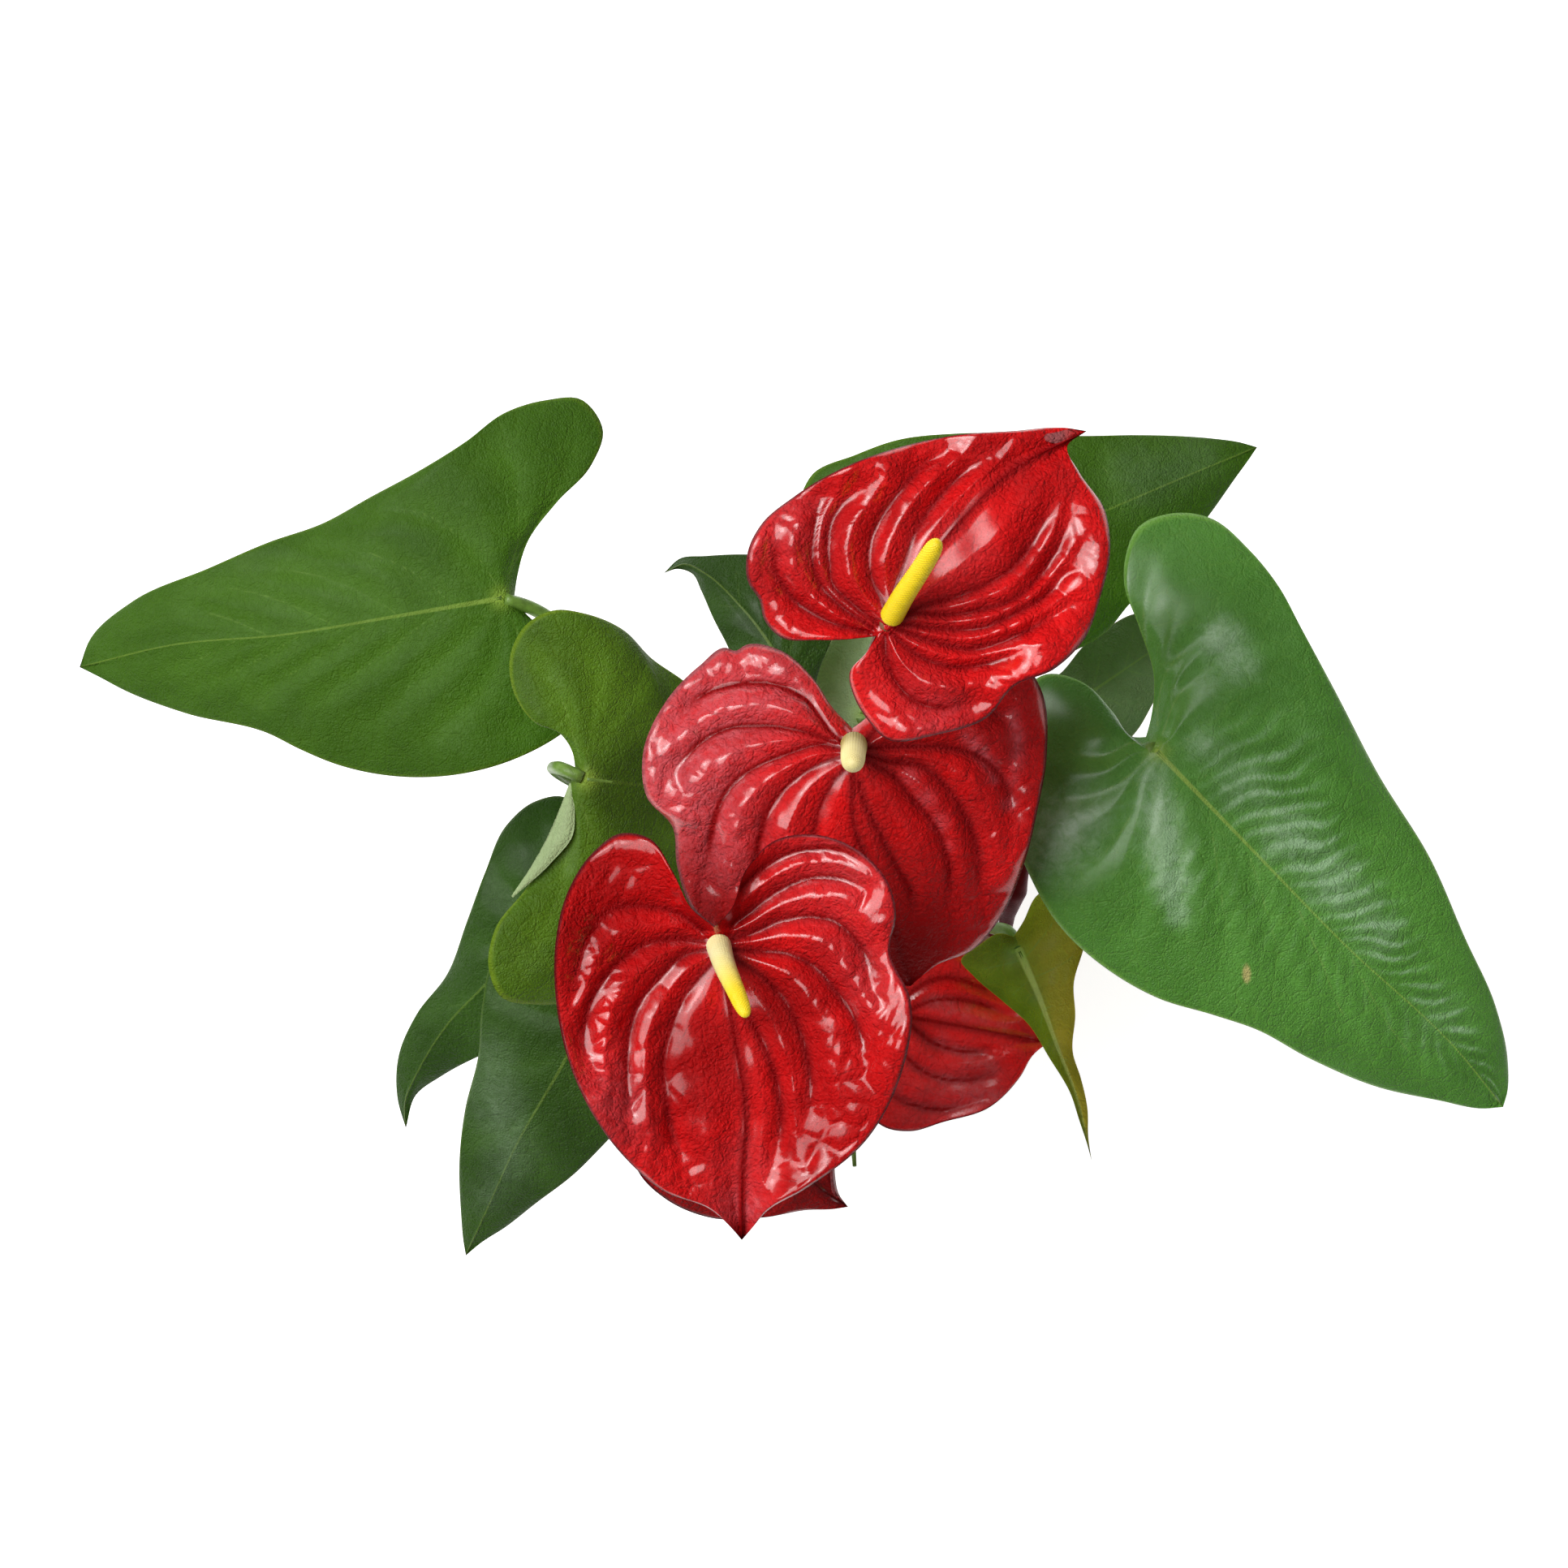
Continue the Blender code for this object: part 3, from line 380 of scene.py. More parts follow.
LEAF_LEFT_CURLED = Blade(
    name="leaf_left_curled",
    tint="leaf_curled",
    pole=(722, 960),
    notch=(709, 948),
    tip=(960, 985),
    left=[
        (705, 926), (690, 904), (660, 891), (633, 853), (629, 806), (649, 769), (682, 752), (721, 756),
        (768, 776), (804, 812), (840, 837), (890, 880), (935, 935),
    ],
    right=[
        (701, 970), (678, 1033), (649, 1093), (610, 1145), (602, 1192), (617, 1228), (664, 1238), (720, 1230),
        (790, 1190), (850, 1132), (905, 1080), (945, 1030),
    ],
    height=262, pitch=-0.42, sag=-18, cup=-6, wave=2.5, waves=2.5, phase=2.0, puff=1.2,
    patches=((650, 1180, 45, 0.25), (700, 820, 50, -0.15), (805, 935, 55, -0.8), (790, 1000, 60, -0.8),
             (740, 965, 40, -0.5), (840, 860, 40, -0.4)),
    rows=120, columns=36, crowding=2.0, turn=45,
    drawn_veins=(
        ((722, 948), (750, 922), (770, 907), (810, 890), (850, 885)),
        ((716, 940), (706, 905), (696, 871), (672, 830), (660, 800)),
        ((722, 935), (730, 890), (735, 840), (725, 795)),
        ((730, 930), (765, 870), (790, 840), (800, 820)),
        ((720, 966), (714, 972), (728, 1015), (760, 1060), (800, 1090)),
        ((714, 975), (700, 1040), (690, 1100), (660, 1160), (640, 1190)),
        ((716, 985), (735, 1060), (745, 1120), (735, 1180)),
        ((740, 962), (790, 1000), (835, 1040)),
    ),
)

LEAF_LOWER_LEFT_OUTER = Blade(
    name="leaf_lower_left_outer",
    tint="leaf_dark",
    pole=(700, 1092),
    notch=(716, 1078),
    tip=(500, 1390),
    left=[
        (722, 1040), (715, 1000), (695, 982), (660, 987), (623, 1018), (598, 1074), (575, 1136), (551, 1200),
        (513, 1250), (491, 1301), (490, 1355),
    ],
    right=[
        (745, 1085), (770, 1120), (765, 1180), (720, 1240), (660, 1275), (589, 1302), (544, 1326),
        (512, 1350),
    ],
    midrib=((596, 1215), (553, 1260), (516, 1318), (499, 1358)),
    height=178, pitch=-0.08, sag=-22, cup=-5, wave=1.2, puff=1.0,
    rows=90, columns=26,
)

LEAF_LOWER_LEFT_INNER = Blade(
    name="leaf_lower_left_inner",
    tint="leaf_dark",
    pole=(740, 1215),
    notch=(754, 1200),
    tip=(574, 1547),
    left=[
        (745, 1165), (700, 1137), (640, 1147), (606, 1185), (594, 1240), (589, 1302), (573, 1367),
        (566, 1430), (568, 1496), (571, 1530),
    ],
    right=[
        (790, 1200), (830, 1228), (840, 1285), (800, 1350), (749, 1405), (706, 1448), (660, 1483),
        (623, 1512), (592, 1532),
    ],
    midrib=((695, 1308), (635, 1413), (600, 1490)),
    height=206, pitch=-0.10, sag=-26, cup=-5, wave=1.2, puff=1.0,
    patches=((615, 1365, 42, 0.6), (606, 1300, 40, 0.5), (632, 1430, 42, 0.55), (598, 1480, 30, 0.4)),
)

LEAF_UPPER_LEFT = Blade(
    name="leaf_upper_left",
    tint="leaf_dark",
    pole=(985, 850),
    notch=(1000, 862),
    tip=(818, 706),
    left=[
        (1004, 846), (1012, 818), (1024, 790), (1034, 750), (1020, 710), (980, 688), (920, 683), (868, 685),
        (838, 688),
    ],
    right=[
        (990, 893), (948, 888), (915, 850), (899, 802), (878, 760), (864, 728), (853, 707), (834, 701),
    ],
    midrib=((915, 750), (868, 706), (845, 695)),
    tone=0.75, height=236, pitch=0.05, sag=-16, cup=-4, wave=1.0, puff=1.0,
    rows=90, columns=26,
)

LEAF_UPPER_RIGHT = Blade(
    name="leaf_upper_right",
    tint="leaf_warm",
    pole=(1190, 705),
    notch=(1172, 714),
    tip=(1549, 551),
    left=[
        (1130, 692), (1060, 668), (1004, 640), (988, 612), (998, 588), (1055, 560), (1102, 543), (1180, 534),
        (1250, 534), (1330, 537), (1400, 536), (1450, 537), (1492, 540), (1528, 545),
    ],
    right=[
        (1160, 745), (1172, 796), (1228, 826), (1290, 818), (1328, 800), (1357, 784), (1392, 744),
        (1430, 705), (1489, 636), (1523, 588), (1541, 563),
    ],
    midrib=((1356, 632), (1502, 570)),
    height=250, pitch=0.03, sag=-20, cup=-4, wave=1.6, puff=1.0,
    patches=((1400, 590, 60, 0.5), (1480, 565, 40, 0.4)),
    rows=110, columns=32,
)

LEAF_RIGHT = Blade(
    name="leaf_right",
    pole=(1426, 926),
    notch=(1412, 908),
    tip=(1852, 1364),
    left=[
        (1417, 890), (1421, 867), (1422, 835), (1403, 771), (1385, 717), (1386, 691), (1403, 649),
        (1448, 632), (1491, 638), (1539, 677), (1576, 723), (1603, 773), (1645, 851), (1699, 955),
        (1763, 1059), (1805, 1155), (1843, 1240), (1858, 1309), (1857, 1347),
    ],
    right=[
        (1396, 908), (1371, 877), (1333, 840), (1288, 831), (1256, 856), (1238, 905), (1234, 960),
        (1244, 1020), (1264, 1069), (1304, 1139), (1368, 1197), (1427, 1230), (1496, 1251), (1549, 1269),
        (1613, 1304), (1699, 1340), (1773, 1356), (1827, 1366),
    ],
    midrib=((1539, 1043), (1656, 1163), (1800, 1299)),
    height=284, pitch=0.02, sag=-44, cup=-6, wave=2.0, waves=3.0, puff=1.3,
    patches=((1422, 955, 22, 0.6), (1428, 1000, 26, 0.9), (1436, 1045, 28, 1.0), (1446, 1090, 26, 0.9),
             (1452, 1130, 18, 0.6), (1505, 785, 30, 0.8), (1532, 818, 26, 0.6), (1485, 845, 30, 0.4),
             (1480, 915, 28, 0.5), (1530, 965, 40, 0.5), (1590, 1030, 42, 0.6), (1645, 1090, 42, 0.6),
             (1700, 1150, 42, 0.45), (1770, 1250, 50, 0.3), (1295, 1045, 55, 0.5), (1330, 1000, 60, 0.45),
             (1620, 900, 60, 0.15), (1310, 880, 60, -0.35), (1450, 690, 50, -0.25), (1740, 1200, 50, -0.1)),
    scars=((1536, 1200, 5, 12),),
    rows=150, columns=46, turn=42,
    drawn_veins=(
        ((1440, 925), (1475, 904), (1533, 891), (1587, 891), (1625, 905)),
        ((1432, 905), (1450, 860), (1490, 820), (1530, 800), (1570, 795)),
        ((1426, 895), (1427, 866), (1437, 829), (1464, 797), (1500, 770)),
        ((1424, 880), (1412, 800), (1410, 740), (1425, 690), (1450, 665)),
        ((1470, 960), (1530, 945), (1590, 950), (1650, 975)),
        ((1515, 1015), (1580, 1002), (1640, 1015), (1700, 1045)),
        ((1565, 1072), (1630, 1065), (1690, 1085), (1745, 1120)),
        ((1615, 1125), (1680, 1124), (1735, 1148), (1785, 1185)),
        ((1665, 1175), (1725, 1182), (1775, 1210), (1815, 1245)),
        ((1725, 1232), (1775, 1248), (1820, 1280)),
        ((1415, 918), (1400, 915), (1357, 931), (1310, 925), (1270, 905)),
        ((1418, 930), (1370, 970), (1320, 985), (1275, 985)),
        ((1424, 935), (1411, 947), (1390, 1010), (1350, 1060), (1310, 1080)),
        ((1432, 940), (1415, 1016), (1411, 1080), (1400, 1140), (1370, 1170)),
        ((1450, 960), (1452, 1040), (1456, 1110), (1450, 1180)),
        ((1490, 1000), (1500, 1070), (1510, 1140), (1515, 1200)),
        ((1540, 1055), (1560, 1120), (1580, 1190), (1600, 1240)),
        ((1600, 1120), (1630, 1190), (1655, 1250), (1690, 1295)),
        ((1665, 1180), (1700, 1245), (1740, 1300), (1780, 1330)),
    ),
    crossing=0.45,
)

LEAF_YOUNG_BRONZE = Blade(
    name="leaf_young_bronze",
    tint="leaf_young",
    pole=(1256, 1172),
    notch=(1249, 1154),
    tip=(1345, 1430),
    left=[
        (1232, 1150), (1206, 1165), (1184, 1184), (1198, 1201), (1237, 1235), (1267, 1262), (1292, 1302),
        (1320, 1350), (1329, 1378), (1341, 1415),
    ],
    right=[
        (1260, 1137), (1278, 1103), (1312, 1088), (1342, 1115), (1336, 1165), (1323, 1213), (1325, 1250),
        (1322, 1297), (1332, 1329), (1340, 1366), (1341, 1401),
    ],
    midrib=((1279, 1225), (1303, 1290), (1326, 1350)),
    height=226, pitch=-0.06, sag=-14, cup=5, wave=1.0, puff=0.8,
    patches=((1248, 1178, 16, 0.7), (1276, 1228, 14, 0.5), (1300, 1290, 14, 0.5), (1215, 1185, 22, 0.35),
             (1305, 1130, 25, 0.25)),
    rows=90, columns=26,
)

LEAF_RIGHT_SHADED = Blade(
    name="leaf_right_shaded",
    tint="leaf_grey",
    pole=(1296, 886),
    notch=(1280, 896),
    tip=(1466, 770),
    left=[
        (1268, 872), (1280, 848), (1307, 829), (1336, 795), (1365, 773), (1395, 757), (1432, 756),
    ],
    right=[
        (1292, 925), (1330, 938), (1370, 928), (1398, 904), (1421, 866), (1440, 830), (1455, 798),
    ],
    height=226, pitch=0.0, sag=-8, cup=-3, wave=0.8, puff=0.8,
    # tone 2.1 is painted light: it brightens this leaf, which lies in the shade of the spathes over it
    tone=2.1, patches=((1385, 820, 30, 0.35),),
    rows=90, columns=26,
)

LEAF_CENTRE_BACK = Blade(
    name="leaf_centre_back",
    tint="leaf_grey",
    pole=(1062, 880),
    notch=(1062, 900),
    tip=(1108, 680),
    left=[
        (1032, 904), (1004, 876), (1003, 835), (1024, 790), (1056, 740), (1088, 704),
    ],
    right=[
        (1092, 904), (1122, 878), (1132, 830), (1130, 770), (1120, 716),
    ],
    # tone 5.2 is painted light: it brightens this leaf, which lies deep in the shade of the spathes over it
    tone=5.2, height=214, pitch=0.06, sag=-6, cup=-3, wave=0.8, puff=0.8,
    rows=90, columns=26,
)

# Margins that have rolled over: the margin, the roll's free edge, and how high it stands
FOLDS = {
    "leaf_left_curled": [
        ([(702, 964), (688, 1000), (672, 1036), (654, 1068), (630, 1104)],
         [(705, 966), (708, 1000), (706, 1028), (680, 1062), (632, 1106)], 2.5),
    ],
    "spathe_top": [
        ([(1262, 532), (1286, 529), (1310, 527), (1326, 530), (1338, 531)],
         [(1264, 535), (1284, 542), (1306, 546), (1320, 538), (1336, 533)], 2.0),
    ],
    "spathe_bottom": [
        ([(1029, 1420), (1029, 1448), (1034, 1472), (1044, 1486)],
         [(1024, 1422), (1023, 1450), (1028, 1476), (1040, 1488)], 1.5),
    ],
}

# Each stem's route: view pixels and height in millimetres, from the blade's pole down towards its foot
LEAF_STEMS = [
    (LEAF_FAR_LEFT, 146, [(622, 738, -1.0), (650, 747, 233), (700, 775, 226), (800, 850, 192),
                          (915, 935, 140)]),
    (LEAF_LEFT_CURLED, 172, [(718, 958, -1.0), (700, 950, 261), (684, 946, 250), (692, 956, 222),
                             (760, 985, 178), (860, 1005, 140)]),
    (LEAF_LOWER_LEFT_OUTER, 198, [(704, 1088, -1.0), (730, 1076, 172), (800, 1072, 152), (880, 1062, 128)]),
    (LEAF_LOWER_LEFT_INNER, 224, [(744, 1211, -1.0), (765, 1190, 198), (820, 1160, 176), (900, 1112, 134)]),
    (LEAF_UPPER_LEFT, 112, [(986, 853, -1.0), (981, 872, 226), (974, 905, 182), (978, 930, 130)]),
    (LEAF_UPPER_RIGHT, 56, [(1186, 707, -1.0), (1166, 722, 243), (1160, 800, 214), (1135, 880, 176),
                            (1095, 930, 134)]),
    (LEAF_RIGHT, 0, [(1422, 922, -1.0), (1400, 925, 274), (1320, 962, 230), (1225, 1000, 172),
                     (1150, 1022, 128)]),
    (LEAF_YOUNG_BRONZE, 325, [(1255, 1170, -1.0), (1244, 1150, 222), (1222, 1143, 216), (1180, 1125, 184),
                              (1130, 1100, 132)]),
    (LEAF_RIGHT_SHADED, 30, [(1292, 888, -1.0), (1268, 902, 219), (1210, 935, 184), (1140, 965, 132)]),
    (LEAF_CENTRE_BACK, 82, [(1062, 883, -1.0), (1060, 902, 206), (1050, 918, 160), (1038, 930, 126)]),
]

BLOOMS = [
    (SPATHE_FRONT, 200, [(884, 1160, 3), (879, 1168, 330), (872, 1174, 296), (894, 1148, 244),
                         (945, 1094, 170), (972, 1060, 124)]),
    (SPATHE_MIDDLE, 130, [(1052, 930, 3), (1048, 938, 308), (1030, 958, 250), (1005, 980, 178),
                          (988, 988, 128)]),
    (SPATHE_TOP, 50, [(1094, 768, 3), (1086, 786, 362), (1066, 838, 324), (1086, 912, 252), (1074, 966, 174),
                      (1058, 984, 124)]),
    (SPATHE_LOWER_RIGHT, 310, [(1102, 1250, 3), (1096, 1244, 188), (1080, 1180, 160), (1060, 1110, 126)]),
    (SPATHE_BOTTOM, 252, [(898, 1320, 3), (902, 1306, 240), (935, 1240, 204), (975, 1160, 158),
                          (1000, 1100, 124)]),
]

# Each spadix: centreline in view pixels and height above the spathe's pole in millimetres, and its radii
SPADICES = [
    ("spadix_front", SPATHE_FRONT, [(884, 1160, -1), (893, 1190, 10), (907, 1222, 19), (920, 1252, 26)],
     3.3, 1.9),
    ("spadix_middle", SPATHE_MIDDLE, [(1052, 917, -2), (1052, 922, 10), (1051, 932, 22), (1051, 942, 31)],
     3.5, 3.0),
    ("spadix_top", SPATHE_TOP, [(1096, 764, -1), (1115, 731, 9), (1136, 699, 17), (1156, 666, 25)], 3.0, 2.3),
    ("spadix_lower_right", SPATHE_LOWER_RIGHT, [(1102, 1250, -1), (1106, 1256, 7), (1110, 1263, 14)], 2.6,
     1.6),
    ("spadix_bottom", SPATHE_BOTTOM, [(902, 1324, -1), (918, 1342, 9), (934, 1360, 18)], 2.8, 1.7),
]

ROLLED_LEAF = (275, [(1024, 1112, 118), (1030, 1170, 142), (1040, 1290, 170), (1050, 1390, 182),
                     (1053, 1437, 186)])
BUD = (0, [(1092, 1036, 110), (1142, 1062, 134), (1212, 1132, 168), (1236, 1152, 190), (1242, 1126, 200),
           (1250, 1098, 208), (1264, 1062, 216)])


class FlamingoSizes(bpy.types.PropertyGroup):
    """The sizes that a user would change."""

    petiole_radius: bpy.props.FloatProperty(
        name="Petiole Radius", description="Radius of a leaf's stalk", default=0.0019, unit="LENGTH"
    )
    stalk_radius: bpy.props.FloatProperty(
        name="Flower Stalk Radius", description="Radius of a bloom's stalk", default=0.0024, unit="LENGTH"
    )
    puff: bpy.props.FloatProperty(
        name="Puff", description="Share of the swelling between a blade's veins", default=1.0, min=0.0
    )
    floret: bpy.props.FloatProperty(
        name="Floret Relief", description="How far a spadix's florets stand out", default=0.00034,
        unit="LENGTH"
    )
    crumb: bpy.props.FloatProperty(
        name="Soil Crumb", description="Height of the soil's crumbs", default=0.0011, unit="LENGTH"
    )


def colour_property(name, description, default):
    return bpy.props.FloatVectorProperty(
        name=name, description=description, default=default, size=3, subtype="COLOR", min=0.0, max=1.0
    )


class FlamingoColours(bpy.types.PropertyGroup):
    """The colours that a user would change."""

    spathe: colour_property("Spathe", "Red of the spathes", (0.78, 0.005, 0.006))
    # Spathe Shade is painted shade: it darkens the grooves along the veins and the sunken veins, and tints
    # the fine net
    spathe_dark: colour_property("Spathe Shade", "Red of the sunken veins", (0.19, 0.001, 0.003))
    leaf_green: colour_property("Leaf", "Green of the large right leaf", (0.120, 0.345, 0.050))
    leaf_warm: colour_property("Far Leaf", "Warmer green of the far left leaf", (0.066, 0.165, 0.011))
    leaf_dark: colour_property("Shaded Leaves", "Green of the lower and older leaves", (0.045, 0.112, 0.013))
    leaf_grey: colour_property("Back Leaf", "Dull green of the small leaf at the back", (0.088, 0.118, 0.064))
    leaf_vein: colour_property("Leaf Vein", "Pale green of the veins", (0.30, 0.46, 0.10))
    leaf_curled: colour_property("Curled Leaf", "Yellow-green of the left leaf", (0.110, 0.230, 0.014))
    leaf_young: colour_property("Young Leaf", "Olive of the young leaf", (0.36, 0.44, 0.036))
    spadix: colour_property("Spadix", "Yellow of the spadices", (1.0, 0.76, 0.006))
    spadix_base: colour_property("Spadix Base", "Cream of a spadix's foot", (0.98, 0.90, 0.50))
    stalk: colour_property("Stalk", "Green of the stalks", (0.13, 0.20, 0.045))
    pot: colour_property("Pot", "Terracotta colour of the plastic", (0.36, 0.13, 0.07))
    soil: colour_property("Soil", "Brown of the potting mix", (0.045, 0.028, 0.018))


def sizes():
    return bpy.context.scene.flamingo_sizes


def colours():
    return bpy.context.scene.flamingo_colours


def smooth_curve(points, steps):
    """Places on a smooth curve through the points, where steps runs from 0 to 1 along its chords.

    Each stretch is a cubic that leaves its ends along the slope of the neighbouring points.
    """
    points = np.array(points, float)
    chords = np.linalg.norm(np.diff(points, axis=0), axis=1)
    knots = np.concatenate([[0.0], np.cumsum(chords)]) / chords.sum()
    slopes = np.gradient(points, knots, axis=0)
    first = np.clip(np.searchsorted(knots, steps, side="right") - 1, 0, len(knots) - 2)
    width = (knots[first + 1] - knots[first])[..., None]
    f = (steps - knots[first])[..., None] / width
    start = (1 + 2 * f) * (1 - f) ** 2 * points[first] + f * (1 - f) ** 2 * width * slopes[first]
    end = f**2 * (3 - 2 * f) * points[first + 1] + f**2 * (f - 1) * width * slopes[first + 1]
    return start + end


def in_space(plan, height):
    """View pixels at a height in millimetres, as places in metres. What is nearer the eye looks larger."""
    scale = PIXEL * (EYE_HEIGHT - height / 1000) / (EYE_HEIGHT - TRUE_SCALE_HEIGHT)
    x = (VIEW_CENTRE[0] - POT_AXIS[0]) * PIXEL + (plan[..., 0] - VIEW_CENTRE[0]) * scale
    y = (POT_AXIS[1] - VIEW_CENTRE[1]) * PIXEL - (plan[..., 1] - VIEW_CENTRE[1]) * scale
    return np.stack([x, y, height / 1000 + 0 * x], axis=-1)


def rolling(x, y, size, seed):
    """A smooth uneven field of about -1 to 1: six sine waves of nearby lengths in seeded directions."""
    draw = np.random.default_rng(seed)
    total = np.zeros_like(x, dtype=float)
    for _ in range(6):
        angle, shift = draw.uniform(0, 2 * np.pi, 2)
        length = size * draw.uniform(0.7, 1.5)
        total += np.sin(2 * np.pi * (x * np.cos(angle) + y * np.sin(angle)) / length + shift)
    return total / 3


def axis_of(blade):
    """The direction from the blade's pole to its tip, and the distance between them, in view pixels."""
    axis = np.subtract(blade.tip, blade.pole).astype(float)
    length = np.linalg.norm(axis)
    return axis / length, length


def side_of(blade, outline, axis):
    """1 or -1: which way a ray towards this side's outline is turned to face the tip."""
    offset = np.mean(outline, axis=0) - np.array(blade.pole, float)
    return np.sign(offset[0] * axis[1] - offset[1] * axis[0])


def blade_plan(blade, t, u):
    """View pixels of places on a blade. t runs from the sinus, 0, round the margin to the tip, 1.

    u is -1 at the left margin, 0 on the midrib and 1 at the right margin. A ray joins each place on the
    midrib to the place of the same t on the margin. It leaves the midrib turned towards the tip, as veins
    do, and bends back on its way out.
    """
    left = smooth_curve([blade.notch, *blade.left, blade.tip], t)
    right = smooth_curve([blade.notch, *blade.right, blade.tip], t)
    margin = np.where((u < 0)[..., None], left, right)
    spine = smooth_curve([blade.pole, *blade.midrib, blade.tip], 0.15 * t + 0.85 * t**blade.crowding)
    across = np.abs(u)
    axis = axis_of(blade)[0]
    ray = margin - spine
    turn = np.radians(blade.turn) * np.sin(np.pi * np.sqrt(t)) * (1 - across)
    turn *= np.where(u < 0, side_of(blade, blade.left, axis), side_of(blade, blade.right, axis))
    turned_x = ray[..., 0] * np.cos(turn) - ray[..., 1] * np.sin(turn)
    turned_y = ray[..., 0] * np.sin(turn) + ray[..., 1] * np.cos(turn)
    return spine + np.stack([turned_x, turned_y], axis=-1) * across[..., None]


def vein_lines(blade):
    """The blade's side veins in view pixels: those drawn for it, or lines swept over its grid."""
    if blade.drawn_veins:
        return [smooth_curve(line, np.linspace(0, 1, 24)) for line in blade.drawn_veins]
    out = np.linspace(0.04, 0.88, 24)
    return [
        blade_plan(blade, start + blade.sweep * out**2 * (1 - start), side * out)
        for start in blade.veins[1:-1]
        for side in (-1.0, 1.0)
    ]


def distance_to(lines, plan, fade=0.0):
    """The distance in millimetres from each place to the nearest of the polylines' stretches.

    fade is added, growing with the square over each line's last third, so that its groove runs out.
    """
    nearest = np.full(plan.shape[:-1], 1e9)
    for line in lines:
        stretches = len(line) - 1
        for number, (start, end) in enumerate(zip(line[:-1], line[1:])):
            along = end - start
            share = np.clip(((plan - start) @ along) / max(along @ along, 1e-9), 0, 1)
            gap = np.linalg.norm(plan - start - share[..., None] * along, axis=-1) * PIXEL * 1000
            run_out = np.clip(((number + share) / stretches - 0.65) / 0.35, 0, 1)
            nearest = np.minimum(nearest, np.hypot(gap, fade * run_out**2))
    return nearest


def puckers(plan, size, seed):
    """Small pillows, 0 to 1: each rises from the seams between the cells round seeded places."""
    low, high = plan.reshape(-1, 2).min(0), plan.reshape(-1, 2).max(0)
    draw = np.random.default_rng(seed)
    count = int(np.prod(high - low) / size**2)
    nearest = np.full(plan.shape[:-1], 1e9)
    second = nearest.copy()
    for place in low + draw.uniform(0, 1, (count, 2)) * (high - low):
        gap = np.hypot(plan[..., 0] - place[0], plan[..., 1] - place[1])
        second = np.minimum(second, np.maximum(nearest, gap))
        nearest = np.minimum(nearest, gap)
    return 1 - np.exp(-(((second - nearest) / (0.45 * size)) ** 1.5))


def cross_wrinkles(blade, plan, u):
    """The phase of the short wrinkles that cross a blade beside its midrib, and their strength, 0 to 1."""
    axis = np.subtract(blade.tip, blade.pole).astype(float)
    share = (plan - np.array(blade.pole, float)) @ axis / (axis @ axis)
    across = np.abs(u)
    x, y = plan[..., 0], plan[..., 1]
    drift = 1.3 * rolling(x, y, 150, 5) + 0.55 * rolling(x, y, 60, 6)
    phase = 2 * np.pi * (CROSS_RIBS * share - 1.6 * across) + drift
    near_rib = np.exp(-(((across - 0.28) / 0.26) ** 2)) * np.clip(share * 5, 0, 1)
    return phase, near_rib * np.where(u * blade.crossing_side > 0, 1.0, 0.35)


def blade_height(blade, plan, t, u, vein_gap, rib_gap):
    """The height of a blade's upper face in millimetres.

    It is a slope, a sag with the square of the distance from the pole, a cup with the square of u, waves
    that grow towards the margin, swellings that rise with the distance from the nearest vein, and small
    pillows between the veins.
    """
    axis, length = axis_of(blade)
    offset = plan - np.array(blade.pole, float)
    forward = offset @ axis
    sideways = offset @ np.array([-axis[1], axis[0]])
    millimetres = PIXEL * 1000
    across = np.abs(u)
    inside = 1 - across**24
    gap = np.hypot(np.minimum(vein_gap, rib_gap), GROOVE_ROUNDING) - GROOVE_ROUNDING
    swelling = 1 - np.exp(-((gap / SWELLING_REACH) ** 1.15)) - SUNKEN_SHARE
    calm = 1 - 0.75 * np.clip(-patch_field(blade, plan), 0, 1)
    waves = blade.wave * across**3 * np.sin(2 * np.pi * blade.waves * t + blade.phase + np.sign(u))
    phase, strength = cross_wrinkles(blade, plan, u)
    cross_ribs = blade.crossing * (1 - np.abs(np.sin(phase))) * strength
    pillows = 0.0
    if blade.pucker:
        outwards = np.clip(across * 1.6 - 0.25, 0, 1) * np.clip(vein_gap / 1.5, 0, 1) * inside
        pillows = blade.pucker * puckers(plan, blade.pucker_size, len(blade.name)) * outwards
    unrest = rolling(plan[..., 0], plan[..., 1], 60, len(blade.name)) * 0.08 * blade.puff * inside
    return (
        blade.height
        + blade.pitch * forward * millimetres
        + blade.sag * (forward / length) ** 2
        + blade.roll * sideways * millimetres
        + blade.cup * across**2 * (1 - t**6)
        + waves * np.sqrt(np.clip(np.sin(np.pi * t), 0, 1))
        + sizes().puff * blade.puff * swelling * calm * inside * np.minimum(across * 4, 1)
        + (cross_ribs + unrest + pillows) * np.sin(np.pi * t) ** 0.5
    )


def patch_field(blade, plan):
    """The blade's patches of painted sheen and painted shade, -1 to 1: each fades from its middle as a bell
    curve.
    """
    field = np.zeros(plan.shape[:-1])
    for x, y, radius, strength in blade.patches:
        gap = np.hypot(plan[..., 0] - x, plan[..., 1] - y)
        field += strength * np.exp(-((gap / radius) ** 2))
    return np.clip(field, -1, 1)


def grid_faces(rows, columns, flip=False):
    """Quads of a grid of corners, row by row, as an array of four corner numbers each."""
    corner = np.arange((rows - 1) * columns).reshape(rows - 1, columns)[:, :-1]
    quads = np.stack([corner, corner + 1, corner + columns + 1, corner + columns], axis=-1).reshape(-1, 4)
    return quads[:, ::-1] if flip else quads


